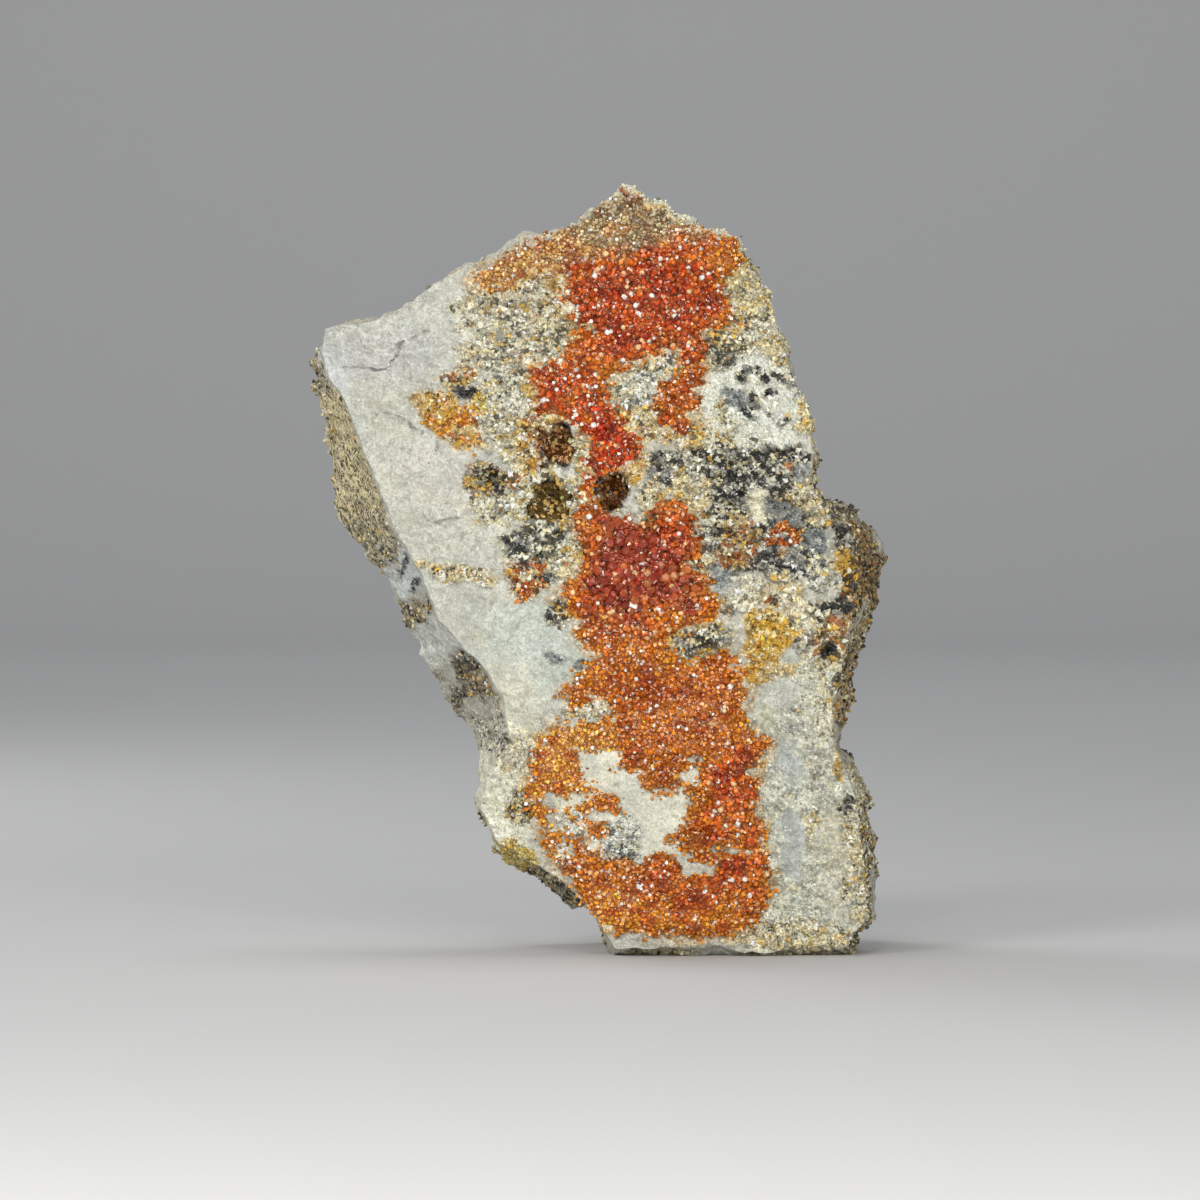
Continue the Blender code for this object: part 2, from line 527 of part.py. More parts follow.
def crystals_object(name, outline, count, margin, seed):
    """The larger crystals of a crust, clear of each other, as one mesh."""
    rng = np.random.default_rng(seed)
    sides = [(k, (k + 1) % 6, (k + 1) % 6 + 6, k + 6) for k in range(6)]
    one = sides + [tuple(range(5, -1, -1)), tuple(range(6, 12))]
    low, high = np.min(outline, axis=0), np.max(outline, axis=0)
    points, faces, placed = [], [], []
    for _ in range(CRYSTAL_TRIES):
        if len(placed) == count:
            break
        x, z = rng.uniform(low, high)
        if not inside(x, z, outline) or inside(x, z, CRUST_WINDOW):
            continue
        edge = min(float(outline_distance(x, z, outline)),
                   float(outline_distance(x, z, CRUST_WINDOW)))
        near = min((math.hypot(x - px, z - pz) for px, pz in placed), default=math.inf)
        if edge < margin or near < CRYSTAL_SPACING:
            continue
        placed.append((x, z))
        thick = float(crust_thickness(np.array(x), np.array(z)))
        y = float(front_y(np.array([x]), np.array([z]))[0]) - GAP - thick
        axis = front_normal(x, z)
        lean = Vector(rng.normal(size=3)).cross(axis).normalized()
        axis = Matrix.Rotation(rng.uniform(0, CRYSTAL_TILT), 3, lean) @ axis
        corners = crystal_points(Vector((x, y, z)), axis, rng.uniform(0, math.pi / 3),
                                 rng.uniform(*CRYSTAL_RADIUS), CRYSTAL_ROOT_SHARE * thick,
                                 rng.uniform(*CRYSTAL_STANDS_OUT))
        faces += [tuple(i + len(points) for i in face) for face in one]
        points += corners
    return new_object(name, points, faces)


def build_crust(material):
    """The main crust: a shell cut to its outline, with its larger crystals joined on."""
    crust = crust_sheet("vanadinite_crust", material)
    apply_boolean(crust, "INTERSECT", outline_prism("crust_outline", CRUST_OUTLINE))
    apply_boolean(crust, "DIFFERENCE", outline_prism("crust_window", CRUST_WINDOW))
    apply_boolean(crust, "UNION", crystals_object("crust_crystals", CRUST_OUTLINE, CRYSTAL_COUNT,
                                                  CRYSTAL_MARGIN, CRUST_SEED))
    return crust


def build_patch(name, outline, material, seed):
    """A small separate patch of crust."""
    patch = crust_sheet(name, material)
    apply_boolean(patch, "INTERSECT", outline_prism(name + "_outline", outline))
    apply_boolean(patch, "UNION", crystals_object(name + "_crystals", outline, PATCH_CRYSTAL_COUNT,
                                                  PATCH_CRYSTAL_MARGIN, seed))
    return patch


# ---------------------------------------------------------------- hollows
def lumpy_ball(name, vug, shrink, roughness, seed, material=None):
    """A rough ball that fills a hollow, made smaller all round by shrink."""
    x, z, half_x, half_z, depth = vug
    bm = bmesh.new()
    bmesh.ops.create_icosphere(bm, subdivisions=2, radius=1.0)
    unit = np.array([v.co[:] for v in bm.verts])
    faces = [tuple(v.index for v in f.verts) for f in bm.faces]
    bm.free()
    uneven = 1 + roughness * value_noise(unit * VUG_LUMPS, VUG_LUMP_SIZE, seed)
    size = np.array([half_x, depth, half_z]) * uneven[:, None]
    mouth = float(front_y(np.array([x]), np.array([z]))[0])
    centre = np.array([x, mouth + VUG_MOUTH_SHARE * depth, z])
    return new_object(name, centre + unit * (size - shrink), faces, material)


def build_lining(name, vug, seed, rock_blank, material):
    """The crystals that line a hollow: a faceted bowl set back from the hollow's mouth."""
    lining = lumpy_ball(name, vug, LINING_CLEARANCE, VUG_ROUGHNESS, seed, material)
    apply_boolean(lining, "INTERSECT", rock_blank, keep_other=True)
    hollow = lumpy_ball(name + "_hollow", vug, GAP + VUG_LINING, LINING_ROUGHNESS, seed + 1)
    for vertex in hollow.data.vertices:
        vertex.co.y -= LINING_SET_BACK * MM
    apply_boolean(lining, "DIFFERENCE", hollow)
    return lining


# ---------------------------------------------------------------- rock
def build_rock(material):
    """The rock, cut flat where it stands and closed with a base."""
    points, faces = rock_mesh()
    rock = new_object("quartz_matrix", points, faces, material)
    bm = bmesh.new()
    bm.from_mesh(rock.data)
    everything = bm.verts[:] + bm.edges[:] + bm.faces[:]
    cut = bmesh.ops.bisect_plane(bm, geom=everything, dist=1e-7, plane_co=(0, 0, 0),
                                 plane_no=(0, 0, 1), clear_inner=True)
    rim = [e for e in cut["geom_cut"] if isinstance(e, bmesh.types.BMEdge)]
    bmesh.ops.triangle_fill(bm, edges=rim, use_beauty=True, normal=(0, 0, -1))
    bmesh.ops.recalc_face_normals(bm, faces=bm.faces)
    bmesh.ops.triangulate(bm, faces=[f for f in bm.faces if len(f.verts) > 3])
    bm.to_mesh(rock.data)
    bm.free()
    return rock


def set_back(rock, distance):
    """A copy of the rock moved back, so that what is cut to it stays behind the front face."""
    blank = rock.copy()
    blank.data = rock.data.copy()
    bpy.context.scene.collection.objects.link(blank)
    for vertex in blank.data.vertices:
        vertex.co.y += distance * MM
    return blank


def main():
    """Builds the rock with its hollows, their linings, the crust and its patches."""
    clear_scene()
    rock_material = make_material("quartz_rock", ROCK_FINISH)
    crust_material = make_material("vanadinite", VANADINITE_FINISH)
    lining_material = make_material("brown_crystals", LINING_FINISH)

    rock = build_rock(rock_material)
    blank = set_back(rock, LINING_SET_BACK)
    for seed, (name, vug) in enumerate(VUGS.items(), start=VUG_SEED):
        build_lining(name + "_hollow_lining", vug, seed, blank, lining_material)
        apply_boolean(rock, "DIFFERENCE", lumpy_ball(name + "_cutter", vug, 0.0, VUG_ROUGHNESS, seed))
    bpy.data.objects.remove(blank, do_unlink=True)

    build_crust(crust_material)
    for side, outline in (("left", LEFT_PATCH), ("right", RIGHT_PATCH), ("centre", CENTRE_PATCH)):
        build_patch("vanadinite_patch_" + side, outline, crust_material, PATCH_SEEDS[side])


main()
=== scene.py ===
"""Looks of the vanadinite specimen: broken quartz rock, its crust of small vanadinite crystals,
its granular patches and its crystal-lined hollows, in a plain pale studio.

Shapes are worked out in millimetres and written in metres.  X runs to the right and Z up, as
the crystal face is looked at, and Y runs away from the viewer.
"""

from __future__ import annotations

import logging
import math
from dataclasses import dataclass, field
from enum import Enum

import bpy
import numpy as np
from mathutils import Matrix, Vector


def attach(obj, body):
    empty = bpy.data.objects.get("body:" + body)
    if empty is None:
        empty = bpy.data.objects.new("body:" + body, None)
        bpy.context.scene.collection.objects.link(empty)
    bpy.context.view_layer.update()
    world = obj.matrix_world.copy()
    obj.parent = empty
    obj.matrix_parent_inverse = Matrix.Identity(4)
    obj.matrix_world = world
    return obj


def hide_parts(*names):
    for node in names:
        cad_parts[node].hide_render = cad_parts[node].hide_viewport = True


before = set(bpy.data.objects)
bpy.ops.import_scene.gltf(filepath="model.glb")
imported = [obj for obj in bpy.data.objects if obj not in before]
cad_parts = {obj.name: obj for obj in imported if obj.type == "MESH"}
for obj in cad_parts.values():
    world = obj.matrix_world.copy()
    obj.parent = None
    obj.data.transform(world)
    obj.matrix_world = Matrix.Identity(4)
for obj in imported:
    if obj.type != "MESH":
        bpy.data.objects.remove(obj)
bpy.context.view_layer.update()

LOG = logging.getLogger("vanadinite")
MM = 0.001
BODY = "root"
# The shapes are laid out with the XZ plane inside the rock; this puts them on the frame.
CENTRING = np.array([0.0, -2.13, 0.0])
# Noise: seeds of its layers, height of each beside the last, and what evens out their sum.
LAYER_SEED, LAYER_HEIGHT, LAYER_GAIN = 101, 0.55, 1.4
BRIGHTEST = 0.95  # of any painted colour
QUARTZ_IOR = 1.54

Array = np.ndarray
Colour = tuple[float, float, float]
Point2 = tuple[float, float]
Point3 = tuple[float, float, float]


# ------------------------------------------------------------------ noise and small formulas
def lattice_value(cells: Array, seed: int) -> Array:
    """A repeatable number from 0 to 1 for each whole-numbered lattice point.

    Args:
        cells: lattice points, with X, Y and Z last.
        seed: which of many such sets of numbers.

    Returns:
        One number for each point, its bits well mixed by large odd factors.
    """
    mixed = cells[..., 0] * 374761393 + cells[..., 1] * 668265263 + cells[..., 2] * 2147483647
    mixed = (mixed + seed * 974711) & 0xFFFFFFFF
    mixed = ((mixed ^ (mixed >> 13)) * 1274126177) & 0xFFFFFFFF
    return ((mixed ^ (mixed >> 16)) & 0xFFFFFF) / float(0xFFFFFF)


def value_noise(points: Array, size: float, seed: int) -> Array:
    """Smooth noise: lattice numbers blended by the cubic 3t^2 - 2t^3 along each axis.

    Args:
        points: places in millimetres, with X, Y and Z last.
        size: size of the noise's features in millimetres.
        seed: which noise.

    Returns:
        Values from -1 to 1.
    """
    scaled = np.asarray(points, float) / size
    base = np.floor(scaled).astype(np.int64)
    part = scaled - base
    part = part * part * (3 - 2 * part)
    total = np.zeros(scaled.shape[:-1])
    for corner in np.ndindex(2, 2, 2):
        chosen = np.array(corner)
        weight = np.prod(np.where(chosen == 1, part, 1 - part), axis=-1)
        total += weight * lattice_value(base + chosen, seed)
    return 2 * total - 1


def on_plane(x: Array, z: Array) -> Array:
    """The points (x, 0, z)."""
    return np.stack([x, np.zeros_like(x), z], axis=-1)


def ease(low: float, high: float, value: Array) -> Array:
    """0 below low, 1 above high, and a smooth rise between them."""
    share = np.clip((value - low) / (high - low), 0.0, 1.0)
    return share * share * (3 - 2 * share)


def blend(first: Array, second: Array | Colour, share: Array) -> Array:
    """first where share is 0, second where it is 1, column by column."""
    return first + (np.asarray(second) - first) * share[..., None]


def unit(vectors: Array) -> Array:
    """Vectors brought to length 1."""
    return vectors / np.maximum(np.linalg.norm(vectors, axis=-1, keepdims=True), 1e-12)


def turned(x: Array, z: Array, degrees: float) -> tuple[Array, Array]:
    """(x, z) as seen from axes that are turned anticlockwise by so many degrees."""
    c, s = math.cos(math.radians(degrees)), math.sin(math.radians(degrees))
    return x * c + z * s, z * c - x * s


@dataclass(frozen=True)
class Noise:
    """Repeatable noise: size of its features in millimetres, seed, and number of layers."""

    size: float
    seed: int
    layers: int = 1

    def at(self, points: Array) -> Array:
        """The noise at points: a single layer, or layers that are each half the size of the last.

        Args:
            points: places in millimetres, with X, Y and Z last.

        Returns:
            Values of about -1 to 1.
        """
        if self.layers == 1:
            return value_noise(points, self.size, self.seed)
        total, height, reach = np.zeros(points.shape[:-1]), 1.0, 0.0
        for layer in range(self.layers):
            total += height * value_noise(points, self.size / 2 ** layer, self.seed + LAYER_SEED * layer)
            reach += height
            height *= LAYER_HEIGHT
        return LAYER_GAIN * total / reach

    def over(self, x: Array, z: Array) -> Array:
        """The noise over the crystal face at (x, z)."""
        return self.at(on_plane(x, z))

    def ledges(self, points: Array, steps: float) -> Array:
        """The noise n as ledges with flat treads and steep risers: n - 0.9 sin(2 pi k n) / (2 pi k).

        Args:
            points: places in millimetres.
            steps: k, the number of ledges for each unit of the noise.

        Returns:
            Values of about -1 to 1.
        """
        plain = self.at(points)
        turn = 2 * math.pi * steps
        return plain - 0.9 * np.sin(turn * plain) / turn


# ------------------------------------------------------------------ outlines, swells and pits
@dataclass(frozen=True)
class Line:
    """A run of straight stretches on the crystal face, as (x, z) corners."""

    corners: tuple[Point2, ...]

    def distance(self, x: Array, z: Array, closed: bool = False) -> Array:
        """Distance from (x, z) to the nearest stretch.

        Args:
            x: places across.
            z: heights.
            closed: whether the last corner joins the first.

        Returns:
            Distances in millimetres.
        """
        nearest = np.full(np.shape(x), 1e9)
        following = self.corners[1:] + (self.corners[:1] if closed else ())
        for (ax, az), (bx, bz) in zip(self.corners, following):
            dx, dz = bx - ax, bz - az
            share = np.clip(((x - ax) * dx + (z - az) * dz) / (dx * dx + dz * dz), 0, 1)
            nearest = np.minimum(nearest, np.hypot(x - ax - share * dx, z - az - share * dz))
        return nearest


@dataclass(frozen=True)
class Outline(Line):
    """A closed outline on the crystal face."""

    def depth(self, x: Array, z: Array) -> Array:
        """How far points lie inside the outline: distance to its nearest side, below 0 outside."""
        within = np.zeros(np.shape(x), bool)
        for (ax, az), (bx, bz) in zip(self.corners, self.corners[1:] + self.corners[:1]):
            if az != bz:
                crosses = (az > z) != (bz > z)
                within ^= crosses & (x < (bx - ax) * (z - az) / (bz - az) + ax)
        return np.where(within, 1.0, -1.0) * self.distance(x, z, closed=True)

    def box(self, margin: float) -> tuple[Array, Array]:
        """Lowest and highest corners of the outline's box, with a margin round it."""
        return np.min(self.corners, axis=0) - margin, np.max(self.corners, axis=0) + margin


@dataclass(frozen=True)
class Oval:
    """An oval on the crystal face: its middle, half its width and height, and its turn in degrees."""

    x: float
    z: float
    half_x: float
    half_z: float
    turn: float = field(default=0.0, kw_only=True)

    def shares(self, x: Array, z: Array) -> tuple[Array, Array]:
        """Where (x, z) lies along the oval's own axes: 0 in the middle, 1 or -1 at their ends."""
        across, along = turned(x - self.x, z - self.z, self.turn)
        return across / self.half_x, along / self.half_z

    def around(self, x: Array, z: Array) -> Array:
        """0 in the middle, 1 on the oval and more outside."""
        return np.hypot(*self.shares(x, z))


@dataclass(frozen=True)
class Swell(Oval):
    """A rounded hill, or a hollow where lift is negative: lift times exp(-(a^2 + b^2))."""

    lift: float

    def at(self, x: Array, z: Array) -> Array:
        """Height of the swell at (x, z)."""
        across, along = self.shares(x, z)
        return self.lift * np.exp(-(across ** 2 + along ** 2))


def swell_sum(x: Array, z: Array, swells: tuple[Swell, ...]) -> Array:
    """Sum of several swells at (x, z)."""
    return sum((swell.at(x, z) for swell in swells), np.zeros(np.shape(x)))


@dataclass(frozen=True)
class Pit(Oval):
    """A hollow in the crystal face: depth times the root of 1 - r^2, with a ragged mouth."""

    depth: float
    seed: int
    node: str = ""
    ragged: float = 0.30

    def reach(self, x: Array, z: Array) -> Array:
        """r: 0 at the middle of the mouth and 1 on its ragged rim."""
        return self.around(x, z) / (1 + self.ragged * Noise(2.2, self.seed, 3).over(x, z))

    def fall(self, x: Array, z: Array) -> Array:
        """How far the face is set back at (x, z)."""
        return self.depth * np.sqrt(np.clip(1 - self.reach(x, z) ** 2, 0, 1))


# ------------------------------------------------------------------ what the surfaces are made of
class Speckle(Enum):
    """Mixtures of grains: shares of milky, grey, black, straw, ochre and rust ones, and coarseness."""

    SUGAR = (0.46, 0.22, 0.02, 0.26, 0.03, 0.01, 0.12)
    DUSTY = (0.40, 0.24, 0.06, 0.24, 0.05, 0.01, 0.34)
    BEIGE = (0.44, 0.13, 0.11, 0.23, 0.07, 0.02, 0.92)
    STRAW = (0.30, 0.07, 0.09, 0.40, 0.13, 0.01, 0.90)
    SALT = (0.56, 0.08, 0.20, 0.12, 0.04, 0.00, 0.95)
    CHALK = (0.80, 0.09, 0.02, 0.09, 0.00, 0.00, 0.45)
    DARK = (0.24, 0.24, 0.38, 0.10, 0.03, 0.01, 1.00)
    SLATE = (0.14, 0.58, 0.22, 0.05, 0.01, 0.00, 0.60)
    BLACK = (0.10, 0.12, 0.76, 0.01, 0.01, 0.00, 0.80)
    BROWN = (0.12, 0.10, 0.38, 0.24, 0.14, 0.02, 1.00)
    RUST = (0.18, 0.06, 0.18, 0.18, 0.20, 0.20, 0.95)
    OCHRE = (0.08, 0.02, 0.06, 0.24, 0.56, 0.04, 0.85)
    CREAM = (0.58, 0.07, 0.06, 0.26, 0.03, 0.00, 0.80)
    FROST = (0.50, 0.30, 0.06, 0.12, 0.02, 0.00, 0.55)
    UMBER = (0.02, 0.03, 0.42, 0.09, 0.31, 0.13, 1.00)
    FIBRE = (0.10, 0.06, 0.22, 0.50, 0.12, 0.00, 1.00)

    @property
    def shares(self) -> Array:
        """Shares of the six kinds of grain."""
        return np.array(self.value[:6])

    @property
    def coarseness(self) -> float:
        """0 for smooth sugary quartz, 1 for loose grains."""
        return self.value[6]


# Linear colours of milky, grey, black, straw, ochre and rust grains.
GRAIN_COLOURS = np.array([
    (0.95, 0.93, 0.74), (0.36, 0.36, 0.32), (0.012, 0.012, 0.011),
    (0.88, 0.76, 0.44), (0.74, 0.45, 0.06), (0.42, 0.11, 0.02),
])


@dataclass(frozen=True)
class Patch(Oval):
    """An oval patch of another colour and mixture, with a ragged edge."""

    tint: Colour
    speckle: Speckle = Speckle.SUGAR
    ragged: float = 1.0
    soft: float = 0.6

    def share(self, x: Array, z: Array, wobble: Array) -> Array:
        """How much of this patch shows at (x, z): its depth below the ragged edge, eased.

        Args:
            x: places across.
            z: heights.
            wobble: noise that makes the edge ragged, less on a small patch.

        Returns:
            Shares from 0 to 1.
        """
        least = min(self.half_x, self.half_z)
        scale = min(1.0, least / 2.5)
        inward = (1 - self.around(x, z)) * least
        return ease(-self.soft * scale, self.soft * scale, inward + self.ragged * scale * wobble)


@dataclass
class Paint:
    """Colour, mixture of grains and coarseness at points of the rock, and the size of its clumps."""

    tint: Array
    shares: Array
    coarse: Array
    clump: float = 1.1

    @staticmethod
    def plain(count: int, tint: Colour, speckle: Speckle) -> Paint:
        """The same colour and mixture at every point."""
        return Paint(np.tile(np.array(tint), (count, 1)), np.tile(speckle.shares, (count, 1)),
                     np.full(count, speckle.coarseness))

    def lay(self, share: Array, tint: Colour, speckle: Speckle) -> None:
        """Lays another colour and mixture over the points, as thickly as share says."""
        self.tint = blend(self.tint, tint, share)
        self.shares = blend(self.shares, speckle.shares, share)
        self.coarse = self.coarse + (speckle.coarseness - self.coarse) * share

    def lay_patches(self, x: Array, z: Array, patches: tuple[Patch, ...],
                    limit: Array | float = 1.0) -> None:
        """Lays patches over the points, in order, all bent by the same noise.

        Args:
            x: places across.
            z: heights.
            patches: the patches.
            limit: share of each patch that may show, for each point.
        """
        wobble = Noise(3.0, 71, 5).over(x, z)
        bent_x, bent_z = x + Noise(4.0, 73, 4).over(x, z), z + Noise(4.0, 75, 4).over(x, z)
        for patch in patches:
            self.lay(patch.share(bent_x, bent_z, wobble) * limit, patch.tint, patch.speckle)

    def fade_from(self, other: Paint, chosen: Array, share: Array) -> None:
        """Gives the chosen points another paint where share is 0, and their own where it is 1.

        Args:
            other: paint of the chosen points alone.
            chosen: which points change.
            share: how much each keeps of its own.
        """
        for name in ("tint", "shares", "coarse"):
            mine, theirs = getattr(self, name), getattr(other, name)
            kept = share if mine.ndim == 1 else share[:, None]
            mine[chosen] = theirs + (mine[chosen] - theirs) * kept

    def grain_colours(self, points: Array, rng: np.random.Generator, strength: float) -> Array:
        """Colour of a single grain at each point, picked from the point's mixture.

        The kind with the greatest sum of log share, clumping noise and luck is picked.

        Args:
            points: places, which decide what clumps together.
            rng: source of the luck.
            strength: how much the picked grain outweighs the patch's colour.

        Returns:
            Linear colours.
        """
        kinds = range(len(GRAIN_COLOURS))
        clumps = np.stack([Noise(self.clump, 501 + 7 * kind, 3).at(points) for kind in kinds], axis=1)
        luck = -np.log(-np.log(rng.uniform(0.001, 0.999, self.shares.shape)))
        picks = (np.log(self.shares + 1e-4) + 2.6 * clumps + 0.65 * luck).argmax(axis=1)
        shade = np.exp(rng.normal(-0.03, 0.26, len(picks)))
        share = strength * (0.15 + 0.85 * self.coarse)
        return np.clip(blend(self.tint, GRAIN_COLOURS[picks] * shade[:, None], share), 0.0, BRIGHTEST)


